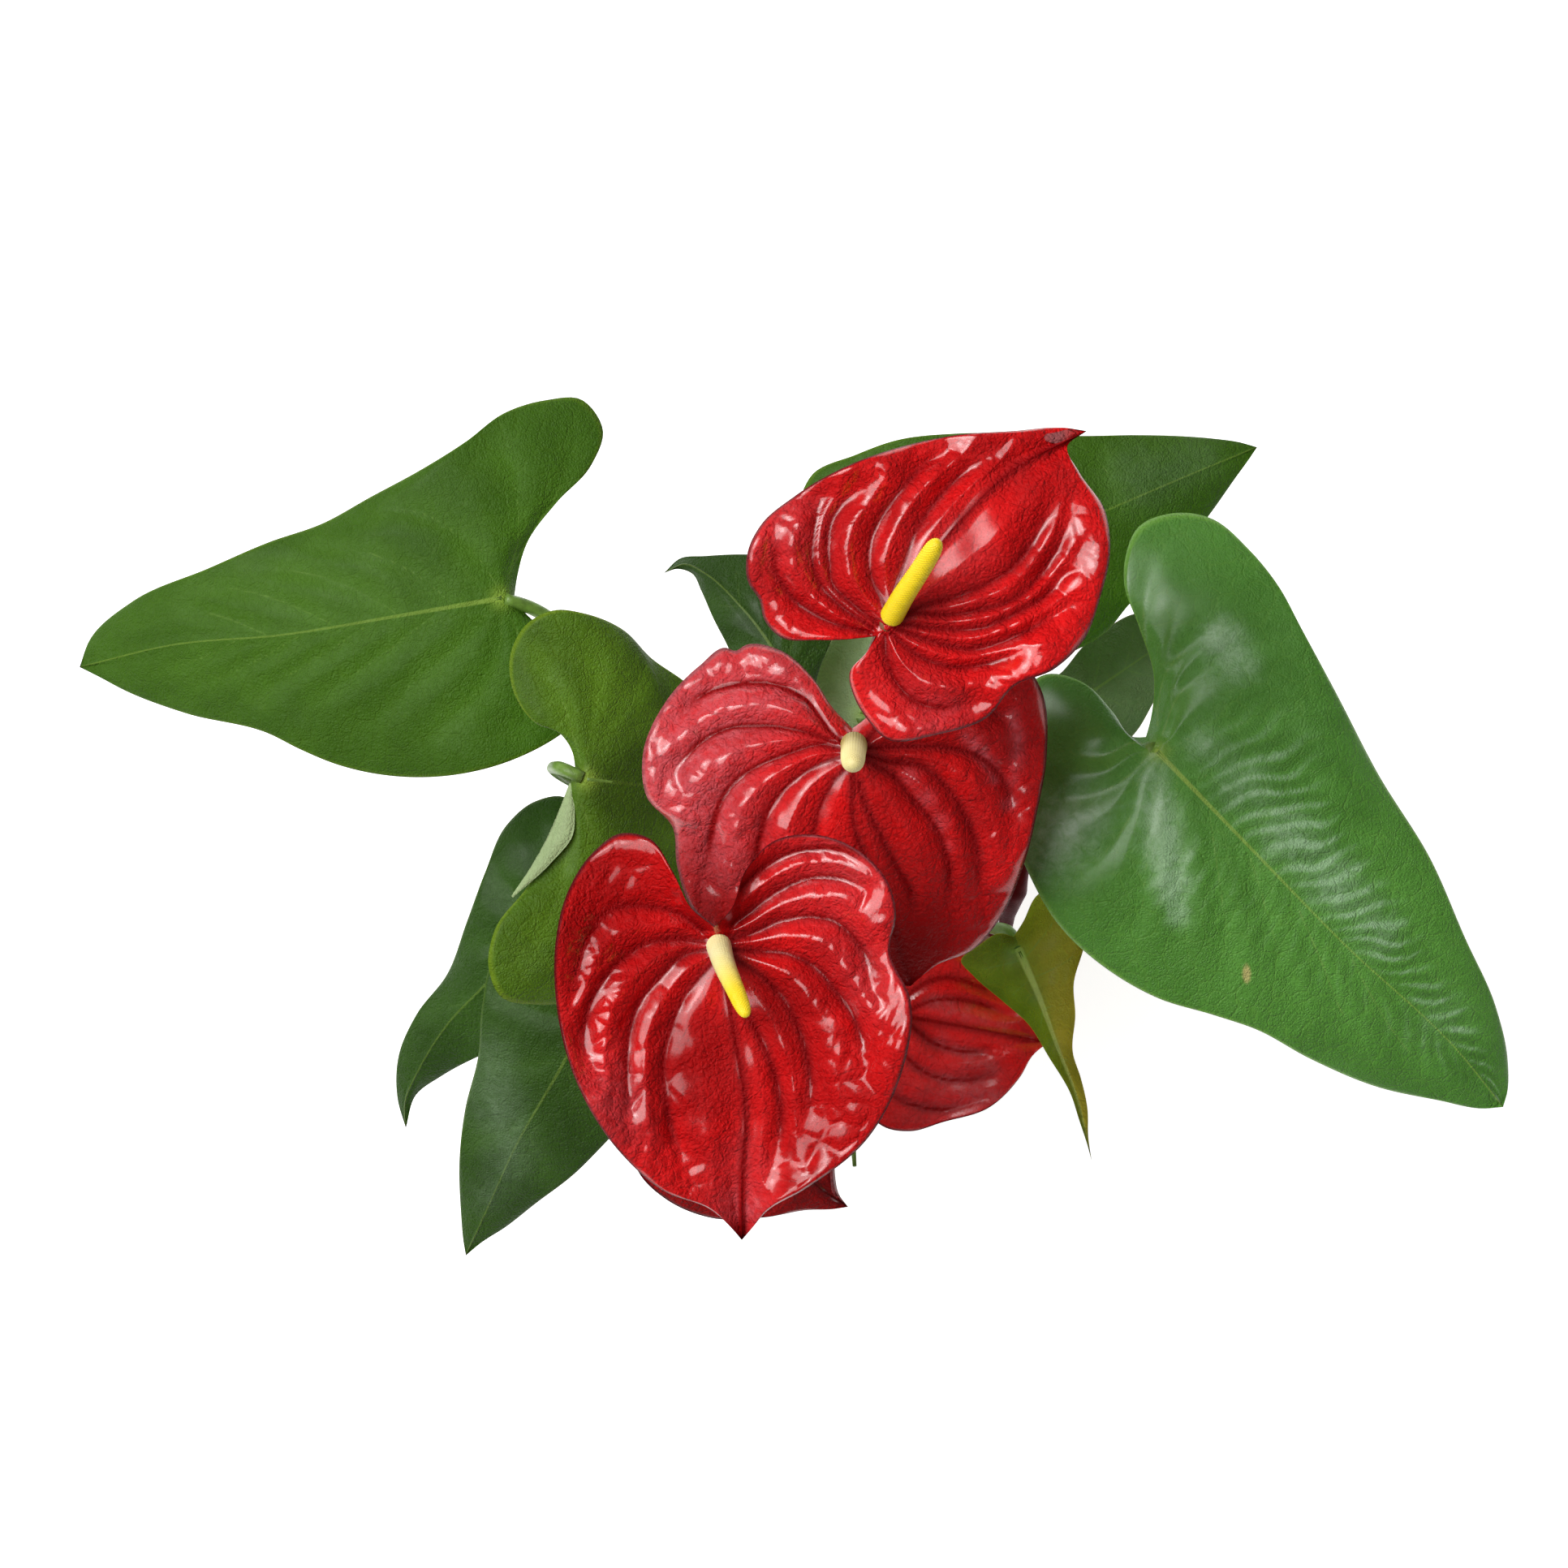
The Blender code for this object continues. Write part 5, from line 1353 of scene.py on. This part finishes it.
def add_tube(shell, places, radii, rings, sides, finish=0, relief=None, **values):
    """A round stem: rings along a smooth route, each square to it, closed to a point at both ends.

    radii are spread evenly along the route. relief(v, w) adds to the radius, with v from 0 to 1 along
    the route and w from 0 to 1 round it.
    """
    v = np.concatenate([[0.0], np.linspace(0, 1, rings), [1.0]])
    w = np.linspace(0, 1, sides + 1)
    route = smooth_curve(places, v)
    ahead = smooth_curve(places, np.minimum(v + 0.004, 1)) - smooth_curve(places, np.maximum(v - 0.004, 0))
    ahead /= np.linalg.norm(ahead, axis=1)[:, None]
    chord = np.subtract(places[-1], places[0])
    square = np.array([chord[1], -chord[0], 0.0])
    square = square / np.linalg.norm(square) if np.linalg.norm(square) > 1e-4 else np.array([1.0, 0.0, 0.0])
    side = square - (ahead @ square)[:, None] * ahead
    side /= np.linalg.norm(side, axis=1)[:, None]
    other = np.cross(ahead, side)
    radius = np.interp(v, np.linspace(0, 1, len(radii)), radii)[:, None] + np.zeros(sides + 1)
    if relief is not None:
        radius = radius + relief(*np.meshgrid(v, w, indexing="ij"))
    radius = np.maximum(radius, LEAST_RADIUS)
    radius[0] = radius[-1] = 0.0
    turn = 2 * np.pi * w
    surface = (
        route[:, None, :]
        + (radius * np.cos(turn))[..., None] * side[:, None, :]
        + (radius * np.sin(turn))[..., None] * other[:, None, :]
    )
    surface[:, -1] = surface[:, 0]
    along = np.repeat(v, sides + 1)
    shell.add(surface, grid_faces(len(v), sides + 1), finish, along=along, **values)


def add_blade(shell, blade):
    """Both faces of a blade and the rim between them. The blade thins towards its rim."""
    rows, columns = blade.rows + 1, 2 * blade.columns + 1
    t, u = np.meshgrid(np.linspace(0, 1, rows), np.linspace(-1, 1, columns), indexing="ij")
    plan = blade_plan(blade, t, u)
    rib = smooth_curve([blade.pole, *blade.midrib, blade.tip], np.linspace(0, 1, 40))
    vein_gap = distance_to(vein_lines(blade), plan, VEIN_FADE)
    rib_gap = distance_to([rib], plan)
    top = in_space(plan, blade_height(blade, plan, t, u, vein_gap, rib_gap))
    bottom = top - np.stack([0 * t, 0 * t, blade.depth * (1 - 0.45 * np.abs(u) ** 10)], axis=-1)
    edge = np.abs(u)
    along_x, along_y = top[1:, :-1] - top[:-1, :-1], top[:-1, 1:] - top[:-1, :-1]
    upwards = np.cross(along_y, along_x)[..., 2].sum() > 0
    count = rows * columns
    faces = grid_faces(rows, columns)
    left = np.arange(rows - 1) * columns
    right = left + columns - 1
    rims = np.concatenate([
        np.stack([left, left + columns, left + columns + count, left + count], axis=-1),
        np.stack([right + columns, right, right + count, right + columns + count], axis=-1),
    ])
    quads = np.concatenate([faces, faces[:, ::-1] + count, rims])
    if not upwards:
        quads = quads[:, ::-1]
    field = patch_field(blade, plan)
    scarred = sum((np.exp(-(((plan[..., 0] - x) / wide) ** 2) - ((plan[..., 1] - y) / high) ** 2)
                   for x, y, wide, high in blade.scars), 0 * t)
    phase, strength = cross_wrinkles(blade, plan, u)
    # flank paints light and shade on the cross wrinkles: above 0 on the flanks that face the pole, below 0 on
    # those that face the tip
    flank = -np.sin(2 * phase) * strength * (blade.crossing > 0)
    centre = np.exp(-((np.linalg.norm(plan - np.array(blade.pole, float), axis=-1) / 13) ** 2))
    # pale and dark carry the patches' painted sheen and painted shade to the materials
    named = {"edge": edge, "vein_gap": vein_gap, "rib_gap": rib_gap, "side": u, "along": t, "under": 0 * t,
             "pale": np.maximum(field, 0), "dark": np.maximum(-field, 0), "scar": scarred,
             "flank": flank, "centre": centre}
    both = {name: np.concatenate([value.ravel(), value.ravel()]) for name, value in named.items()}
    both["under"][count:] = 1.0
    both["pale"][count:] = 0.0
    shell.add(np.concatenate([top.reshape(-1, 3), bottom.reshape(-1, 3)]), quads, **both)


def add_fold(shell, blade, outer, inner, lift):
    """A stretch of margin that has rolled over and shows its pale underside.

    It is a strip from the margin's curve to the roll's free edge, in view pixels. It rises from the
    blade's margin to lift millimetres over it half way across, and sinks back a little at the free edge.
    """
    rows, columns = FOLD_ROWS, FOLD_COLUMNS
    count = rows * columns
    v, w = np.meshgrid(np.linspace(0, 1, rows), np.linspace(0, 1, columns), indexing="ij")
    margin, free = smooth_curve(outer, v), smooth_curve(inner, v)
    plan = margin + (free - margin) * w[..., None]
    axis, length = axis_of(blade)
    forward = (margin - np.array(blade.pole, float)) @ axis
    base = (
        blade.height + blade.pitch * forward * PIXEL * 1000 + blade.sag * (forward / length) ** 2
        + blade.cup
    )
    open_ends = np.sin(np.pi * v) ** 0.5
    top = in_space(plan, base + lift * open_ends * np.sin(np.pi * (0.08 + 0.62 * w)))
    thick = np.stack([0 * v, 0 * v, FOLD_DEPTH + 0 * v], axis=-1)
    corners = np.concatenate([top.reshape(-1, 3), (top - thick).reshape(-1, 3)])
    faces = grid_faces(rows, columns)
    ring = np.concatenate([
        np.arange(columns), columns * np.arange(1, rows) + columns - 1,
        (rows - 1) * columns + np.arange(columns - 2, -1, -1), columns * np.arange(rows - 2, 0, -1),
    ])
    next_ring = np.roll(ring, -1)
    sides = np.stack([ring, next_ring, next_ring + count, ring + count], axis=-1)
    if np.cross(top[1, 0] - top[0, 0], top[0, 1] - top[0, 0])[2] > 0:
        faces = faces[:, ::-1]
    else:
        sides = sides[:, ::-1]
    flags = np.ones(len(corners))
    shown, fading = flags, 1.0
    if blade.name.startswith("spathe"):
        shown, fading = np.tile(np.sin(np.pi * v).ravel() ** 1.5, 2), 0.35
    shell.add(corners, np.concatenate([faces[:, ::-1], faces + count, sides]), under=shown,
              pale=shown * fading, vein_gap=9 * flags, rib_gap=9 * flags, edge=0.5 * flags,
              side=0 * flags)


def add_under_rib(shell, blade):
    """The midrib that stands out under a leaf, tapering from the pole to near the tip."""
    rings, sides = STEM_GRIDS["rib"]
    t = np.linspace(0.0, 0.93, 12)
    plan = blade_plan(blade, t, 0 * t)
    gap = 0 * t
    height = blade_height(blade, plan, t, 0 * t, gap, gap) - blade.depth * 1000 - 0.1
    places = in_space(plan, height)
    under = np.ones((rings + 2) * (sides + 1))
    add_tube(shell, places, UNDER_RIB_RADII, rings, sides, STEM_FINISH, under=under)


def foot_of(angle, ring):
    return ring * math.cos(math.radians(angle)), ring * math.sin(math.radians(angle))


def route_to_foot(route, pole_height, angle, ring):
    """The route in metres, carried on down into its hole in the soil. Its first height is over the pole."""
    pixels = np.array(route, float)
    if pole_height is not None:
        pixels[0, 2] += pole_height
    places = list(in_space(pixels[:, :2], pixels[:, 2]))
    x, y = foot_of(angle, ring)
    places.append(np.array([x, y, SOIL_TOP + 0.005]))
    places.append(np.array([x, y, SOIL_TOP - HOLE_DEPTH / 2]))
    places.append(np.array([x, y, SOIL_TOP - HOLE_DEPTH + CLEARANCE]))
    return places


def stem_unevenness(v, w):
    """Faint long ribs round a stem and a slight swelling where it meets its blade."""
    ribs = 0.00005 * np.cos(2 * np.pi * 5 * w + 3 * v)
    knee = 0.00035 * np.exp(-(((v - 0.05) / 0.05) ** 2))
    return ribs + knee


def make_leaf(blade, angle, route):
    """One leaf: its blade, the rib under it and its petiole, which grew in one piece."""
    shell = Shell()
    add_blade(shell, blade)
    add_under_rib(shell, blade)
    for outer, inner, lift in FOLDS.get(blade.name, ()):
        add_fold(shell, blade, outer, inner, lift)
    places = route_to_foot(route, blade.height, angle, OUTER_FEET)
    radii = [sizes().petiole_radius * share for share in PETIOLE_TAPER]
    add_tube(shell, places, radii, *STEM_GRIDS["petiole"], STEM_FINISH, stem_unevenness)
    leaf = shell.build("grown_" + blade.name, [leaf_material(blade), stem_material("petiole")])
    stand_for(leaf, blade.name)


def make_spathe(blade):
    shell = Shell()
    add_blade(shell, blade)
    for outer, inner, lift in FOLDS.get(blade.name, ()):
        add_fold(shell, blade, outer, inner, lift)
    spathe = shell.build("grown_" + blade.name, [spathe_material(blade)])
    stand_for(spathe, blade.name)


def spathe_height_at(blade, plan):
    """The height in millimetres of the spathe's upper face nearest to a place in view pixels."""
    t, u = np.meshgrid(np.linspace(0, 0.5, 60), np.linspace(-0.6, 0.6, 61), indexing="ij")
    there = blade_plan(blade, t, u)
    rib = smooth_curve([blade.pole, *blade.midrib, blade.tip], np.linspace(0, 1, 40))
    vein_gap = distance_to(vein_lines(blade), there, VEIN_FADE)
    height = blade_height(blade, there, t, u, vein_gap, distance_to([rib], there))
    nearest = np.argmin(((there - plan) ** 2).sum(-1))
    return height.ravel()[nearest]


def make_stalk(blade, angle, route):
    """A bloom's stalk. It ends inside the spathe's thickness, under the pole."""
    name = blade.name.replace("spathe", "stalk")
    seat = spathe_height_at(blade, np.array(route[0][:2], float)) - blade.height - blade.depth * 700
    route = [(route[0][0], route[0][1], seat), *route[1:]]
    places = route_to_foot(route, blade.height, angle, INNER_FEET)
    radii = [sizes().stalk_radius * share for share in STALK_TAPER]
    shell = Shell()
    add_tube(shell, places, radii, *STEM_GRIDS["stalk"], 0, stem_unevenness)
    stalk = shell.build("grown_" + name, [stem_material("stalk")])
    stand_for(stalk, name)


def floret_spirals(v, w):
    """How high a spadix's florets stand, 0 to 1: the product of two sets of crossed spirals."""
    around, along = FLORET_SPIRALS
    return np.abs(np.sin(np.pi * (around * w + along * v)) * np.sin(np.pi * (around * w - along * v)))


def make_spadix(name, blade, centreline, base_radius, end_radius):
    """A finger of florets: four-sided bumps in crossed spirals round a bent, tapering centreline.

    The radius tapers evenly, is rounded off as a quarter circle over the first 7% and as a ninth power
    at the end, and has the florets added to it.
    """
    pixels = np.array(centreline, float)
    seat = spathe_height_at(blade, pixels[0, :2])
    pixels[:, 2] += blade.height
    pixels[0, 2] = min(pixels[0, 2], seat + 0.2)
    places = in_space(pixels[:, :2], pixels[:, 2])

    def florets(v, w):
        rounded = 1 - np.sqrt(np.clip(1 - np.abs(2 * np.clip(v, 0.5, 1) - 1) ** 9, 0, 1))
        rounded += 1 - np.sqrt(np.clip(1 - np.clip(1 - v / 0.07, 0, 1) ** 2, 0, 1))
        taper = (base_radius + (end_radius - base_radius) * v) / 1000
        return sizes().floret * (floret_spirals(v, w) ** 0.55 - 0.5) - taper * rounded

    shell = Shell()
    w = np.linspace(0, 1, SPADIX_SIDES + 1)
    v = np.concatenate([[0.0], np.linspace(0, 1, SPADIX_RINGS), [1.0]])
    spirals = floret_spirals(*np.meshgrid(v, w, indexing="ij"))
    radii = (base_radius / 1000, end_radius / 1000)
    add_tube(shell, places, radii, SPADIX_RINGS, SPADIX_SIDES, 0, florets, floret=spirals)
    spadix = shell.build("grown_" + name, [spadix_material(blade)])
    stand_for(spadix, name)


def make_rolled_leaf():
    """The youngest leaf, still rolled: a slim spike with the rolled margin winding round it."""
    angle, route = ROLLED_LEAF
    places = route_to_foot(route[::-1], None, angle, OUTER_FEET)[::-1]

    def rolled_edge(v, w):
        winding = (w - 0.6 * v) % 1.0
        return 0.0003 * np.exp(-((winding - 0.5) / 0.08) ** 2) * np.clip((v - 0.45) * 8, 0, 1) * (1 - v**6)

    shell = Shell()
    add_tube(shell, places, ROLLED_RADII, *STEM_GRIDS["rolled"], 0, rolled_edge)
    piece = shell.build("grown_leaf_rolled", [stem_material("rolled")])
    stand_for(piece, "leaf_rolled")


def make_bud():
    angle, route = BUD
    places = route_to_foot(route[::-1], None, angle, INNER_FEET)[::-1]

    def rolled_edge(v, w):
        winding = (w - 1.1 * v) % 1.0
        return 0.0004 * np.exp(-((winding - 0.5) / 0.07) ** 2) * np.clip((v - 0.72) * 9, 0, 1) * (1 - v**9)

    shell = Shell()
    add_tube(shell, places, BUD_RADII, *STEM_GRIDS["bud"], 0, rolled_edge)
    piece = shell.build("grown_bud", [stem_material("bud")])
    stand_for(piece, "bud")


def turned_surface(profile, steps):
    """A profile of radius and height turned round the pot's axis, as rows of corners."""
    profile = np.array(profile, float)
    angle = np.linspace(0, 2 * np.pi, steps + 1)
    x = profile[:, :1] * np.cos(angle)
    y = profile[:, :1] * np.sin(angle)
    x[:, -1], y[:, -1] = x[:, 0], y[:, 0]
    return np.stack([x, y, profile[:, 1:] + 0 * x], axis=-1)


def inner_radius(height):
    """The inside of the pot's sloping wall at a height."""
    top = POT_RIM_RADIUS - RIM_STEP - POT_WALL
    return POT_BASE_RADIUS - POT_WALL + (top - POT_BASE_RADIUS + POT_WALL) * height / POT_HEIGHT


def make_pot():
    """The pot: a fine turned surface with its drain holes cut and its edges rounded."""
    edge, fillet = 0.0008, 0.0024
    shoulder = POT_HEIGHT - RIM_DEPTH
    profile = [
        (0.0, POT_WALL),
        (inner_radius(POT_WALL) - fillet, POT_WALL),
        (inner_radius(POT_WALL + fillet), POT_WALL + fillet),
        (inner_radius(POT_HEIGHT - edge), POT_HEIGHT - edge),
        (inner_radius(POT_HEIGHT) + edge, POT_HEIGHT),
        (POT_RIM_RADIUS - edge, POT_HEIGHT),
        (POT_RIM_RADIUS, POT_HEIGHT - edge),
        (POT_RIM_RADIUS - 2 * edge, shoulder),
        (inner_radius(shoulder) + POT_WALL, shoulder),
        (inner_radius(fillet) + POT_WALL, fillet),
        (POT_BASE_RADIUS - fillet, 0.0),
        (0.0, 0.0),
    ]
    steps = 128
    shell = Shell()
    shell.add(turned_surface(profile, steps), grid_faces(len(profile), steps + 1, flip=True))
    pot = shell.build("turned_pot", [pot_material()])
    drills = Shell()
    for number in range(DRAIN_HOLES):
        angle = 2 * math.pi * number / DRAIN_HOLES
        bit = [(0.0, 3 * POT_WALL), (DRAIN_RADIUS, 3 * POT_WALL), (DRAIN_RADIUS, -POT_WALL), (0.0, -POT_WALL)]
        surface = turned_surface(bit, 32) + (DRAIN_RING * math.cos(angle), DRAIN_RING * math.sin(angle), 0.0)
        drills.add(surface, grid_faces(len(bit), 33, flip=True))
    drill = drills.build("drain_drill", [])
    cut = pot.modifiers.new("drain holes", "BOOLEAN")
    cut.operation = "DIFFERENCE"
    cut.object = drill
    rounding = pot.modifiers.new("rounded edges", "BEVEL")
    rounding.width = 0.0004
    rounding.segments = 3
    rounding.angle_limit = math.radians(28)
    settle(pot)
    bpy.data.objects.remove(drill)
    stand_for(pot, "pot")


def settle(piece):
    """Puts the result of the piece's modifiers into its mesh."""
    bpy.context.view_layer.update()
    finished = bpy.data.meshes.new_from_object(piece.evaluated_get(bpy.context.evaluated_depsgraph_get()))
    piece.modifiers.clear()
    piece.data = finished


def crumbs(x, y):
    """Soil relief in metres: slow unevenness, and the rounded tops of seeded crumbs and bark bits."""
    draw = np.random.default_rng(7)
    relief = 0.35 * rolling(x, y, 0.016, 3) + 0.2 * rolling(x, y, 0.006, 4)
    for size, count in ((0.0034, 260), (0.0021, 900), (0.0013, 1700)):
        reach = POT_RIM_RADIUS * np.sqrt(draw.uniform(0, 1, count))
        angle = draw.uniform(0, 2 * np.pi, count)
        radius = size * draw.uniform(0.6, 1.25, count)
        high = draw.uniform(0.5, 1.1, count)
        squash = draw.uniform(0.55, 1.0, count)
        lean = draw.uniform(0, np.pi, count)
        for cx, cy, r, h, s, a in zip(reach * np.cos(angle), reach * np.sin(angle), radius, high, squash,
                                      lean):
            near = (np.abs(x - cx) < r * 2) & (np.abs(y - cy) < r * 2)
            dx, dy = x[near] - cx, y[near] - cy
            long = (dx * np.cos(a) + dy * np.sin(a)) / r
            short = (dy * np.cos(a) - dx * np.sin(a)) / (r * s)
            relief[near] = np.maximum(relief[near],
                                      h * r / size * np.sqrt(np.clip(1 - long**2 - short**2, 0, 1)))
    return sizes().crumb * relief


def make_soil():
    """The potting mix: a turned solid whose top has crumbs. The stems stand in it."""
    rings, steps = 150, 280
    wall = inner_radius(SOIL_TOP) - CLEARANCE
    share = np.linspace(0, 1, rings)
    radius = share * wall
    angle = np.linspace(0, 2 * np.pi, steps + 1)
    x, y = radius[:, None] * np.cos(angle), radius[:, None] * np.sin(angle)
    x[:, -1], y[:, -1] = x[:, 0], y[:, 0]
    x[0], y[0] = 0.0, 0.0
    crowned = SOIL_TOP - 0.0006 + SOIL_CROWNING * np.cos(np.pi * share)[:, None] * 0.6
    inside = (1 - share**12)[:, None]
    top = np.stack([x, y, crowned + crumbs(x, y) * inside], axis=-1)
    floor = POT_WALL + CLEARANCE
    fillet = 0.0030
    side = turned_surface(
        [(wall, SOIL_TOP - 0.0018), (inner_radius(floor + fillet) - CLEARANCE, floor + fillet),
         (inner_radius(floor) - fillet, floor), (0.0, floor)], steps,
    )
    side[0] = top[-1]
    shell = Shell()
    shell.add(top, grid_faces(rings, steps + 1, flip=True))
    shell.add(side, grid_faces(4, steps + 1, flip=True))
    soil = shell.build("crumbly_soil", [soil_material()])
    stand_for(soil, "soil")


def make_crown():
    """The rhizome: a turned stub whose radius swells and dips at each old leaf scar, leaning round it."""
    base = SOIL_TOP - HOLE_DEPTH + CLEARANCE
    rings, steps = 90, 96
    v, w = np.meshgrid(np.linspace(0, 1, rings), np.linspace(0, 1, steps + 1), indexing="ij")
    height = base + (SOIL_TOP + CROWN_HEIGHT - base) * v
    above = np.clip((height - SOIL_TOP) / CROWN_HEIGHT, 0, 1)
    dome = np.sqrt(np.clip(1 - above**3.2, 0, 1))
    scars = 0.07 * np.sin(2 * np.pi * (above * 4.2 + w)) * (above > 0) * dome
    knobs = 0.03 * np.sin(2 * np.pi * (5 * w + 3 * above))
    radius = CROWN_RADIUS * np.minimum(dome * (0.93 + scars + knobs), 1.0)
    turn = 2 * np.pi * w
    x, y = radius * np.cos(turn), radius * np.sin(turn)
    x[:, -1], y[:, -1] = x[:, 0], y[:, 0]
    foot = np.stack([0 * x[:1], 0 * y[:1], height[:1]], axis=-1)
    surface = np.concatenate([foot, np.stack([x, y, height], axis=-1)])
    shell = Shell()
    shell.add(surface, grid_faces(rings + 1, steps + 1))
    crown = shell.build("scarred_crown", [crown_material()])
    stand_for(crown, "crown")


def area_light(name, place, aim, size, power, shines=True):
    """A square soft light. One that doesn't shine lights surfaces without showing in their gloss."""
    light = bpy.data.lights.new(name, "AREA")
    light.shape = "SQUARE"
    light.size = size
    light.energy = power
    lamp = bpy.data.objects.new(name, light)
    lamp.location = place
    lamp.rotation_euler = (Vector(aim) - Vector(place)).to_track_quat("-Z", "Y").to_euler()
    lamp.visible_glossy = shines
    bpy.context.scene.collection.objects.link(lamp)


def floor_material():
    """Pale paint with a barely uneven tone."""
    material, recipe, shader = new_material("Pale Floor")
    tone = recipe.noise(3.0, 2.0)
    paint = recipe.blend(tone, (0.93, 0.93, 0.93, 1), (0.95, 0.95, 0.95, 1))
    recipe.fill(shader, Base_Color=paint, Roughness=recipe.maths("MULTIPLY_ADD", tone, 0.1, 0.8),
                Emission_Color=(1.0, 1.0, 1.0, 1.0), Emission_Strength=0.8)
    return material


def make_stage():
    """The pale floor, the soft lights and the camera that looks straight down."""
    shell = Shell()
    x, y = np.meshgrid(np.linspace(-6, 6, 9), np.linspace(-6, 6, 9), indexing="ij")
    shell.add(np.stack([x, y, 0 * x], axis=-1), grid_faces(9, 9, flip=True))
    ground = shell.build("pale_floor", [floor_material()])
    world = bpy.data.worlds.new("Soft Room")
    world.use_nodes = True
    world.node_tree.nodes["Background"].inputs["Color"].default_value = (1.0, 1.0, 1.0, 1.0)
    world.node_tree.nodes["Background"].inputs["Strength"].default_value = 0.06
    bpy.context.scene.world = world
    bpy.context.scene.view_settings.view_transform = "Standard"
    area_light("Large Softbox", (-1.15, 0.5, 2.30), (0, 0, 0.3), 1.8, 54)
    area_light("Small Softbox", (-1.00, 0.75, 1.95), (0, 0, 0.3), 0.5, 7)
    area_light("Ceiling Fill", (0.5, -0.2, 2.7), (0, 0, 0.3), 2.5, 10, shines=False)
    camera = bpy.data.cameras.new("Overhead Camera")
    camera.sensor_fit = "HORIZONTAL"
    camera.sensor_width = SENSOR
    width = VIEW_PIXELS * PIXEL
    camera.lens = SENSOR * (EYE_HEIGHT - TRUE_SCALE_HEIGHT) / width
    eye = bpy.data.objects.new("Overhead Camera", camera)
    eye.location = (
        (VIEW_CENTRE[0] - POT_AXIS[0]) * PIXEL, (POT_AXIS[1] - VIEW_CENTRE[1]) * PIXEL, EYE_HEIGHT
    )
    bpy.context.scene.collection.objects.link(eye)
    bpy.context.scene.camera = eye


class FlamingoLeaves(bpy.types.Operator):
    """Adds the heart-shaped leaves with their petioles."""

    bl_idname = "flamingo.add_leaves"
    bl_label = "Leaves"

    def execute(self, context):
        for blade, angle, route in LEAF_STEMS:
            make_leaf(blade, angle, route)
        return {"FINISHED"}


class FlamingoBlooms(bpy.types.Operator):
    """Adds the red spathes and their stalks."""

    bl_idname = "flamingo.add_blooms"
    bl_label = "Blooms"

    def execute(self, context):
        for blade, angle, route in BLOOMS:
            make_spathe(blade)
            make_stalk(blade, angle, route)
        return {"FINISHED"}


class FlamingoSpadices(bpy.types.Operator):
    """Adds the pebbled spadices."""

    bl_idname = "flamingo.add_spadices"
    bl_label = "Spadices"

    def execute(self, context):
        for name, blade, centreline, base_radius, end_radius in SPADICES:
            make_spadix(name, blade, centreline, base_radius, end_radius)
        return {"FINISHED"}


class FlamingoShoots(bpy.types.Operator):
    """Adds the rolled leaf and the bud."""

    bl_idname = "flamingo.add_shoots"
    bl_label = "Rolled Leaf and Bud"

    def execute(self, context):
        make_rolled_leaf()
        make_bud()
        return {"FINISHED"}


class FlamingoPot(bpy.types.Operator):
    """Adds the pot, the soil and the crown."""

    bl_idname = "flamingo.add_pot"
    bl_label = "Pot, Soil and Crown"

    def execute(self, context):
        make_pot()
        make_soil()
        make_crown()
        return {"FINISHED"}


class FlamingoStage(bpy.types.Operator):
    """Adds the floor, the lights and the camera."""

    bl_idname = "flamingo.add_stage"
    bl_label = "Stage"

    def execute(self, context):
        make_stage()
        return {"FINISHED"}


OPERATORS = [FlamingoLeaves, FlamingoBlooms, FlamingoSpadices, FlamingoShoots, FlamingoPot, FlamingoStage]


class FlamingoPanel(bpy.types.Panel):
    """Lists the pieces and the values that they are made with."""

    bl_idname = "VIEW3D_PT_flamingo_flower"
    bl_label = "Potted Flamingo Flower"
    bl_space_type = "VIEW_3D"
    bl_region_type = "UI"
    bl_category = "Flamingo Flower"

    def draw(self, context):
        for group in (context.scene.flamingo_sizes, context.scene.flamingo_colours):
            for name in type(group).__annotations__:
                self.layout.prop(group, name)
        for operator in OPERATORS:
            self.layout.operator(operator.bl_idname)


CLASSES = [FlamingoSizes, FlamingoColours, *OPERATORS, FlamingoPanel]


def register():
    for cls in CLASSES:
        bpy.utils.register_class(cls)
    bpy.types.Scene.flamingo_sizes = bpy.props.PointerProperty(type=FlamingoSizes)
    bpy.types.Scene.flamingo_colours = bpy.props.PointerProperty(type=FlamingoColours)


def unregister():
    del bpy.types.Scene.flamingo_sizes
    del bpy.types.Scene.flamingo_colours
    for cls in reversed(CLASSES):
        bpy.utils.unregister_class(cls)


def main():
    register()
    bpy.ops.flamingo.add_leaves()
    bpy.ops.flamingo.add_blooms()
    bpy.ops.flamingo.add_spadices()
    bpy.ops.flamingo.add_shoots()
    bpy.ops.flamingo.add_pot()
    bpy.ops.flamingo.add_stage()


if __name__ == "__main__":
    main()
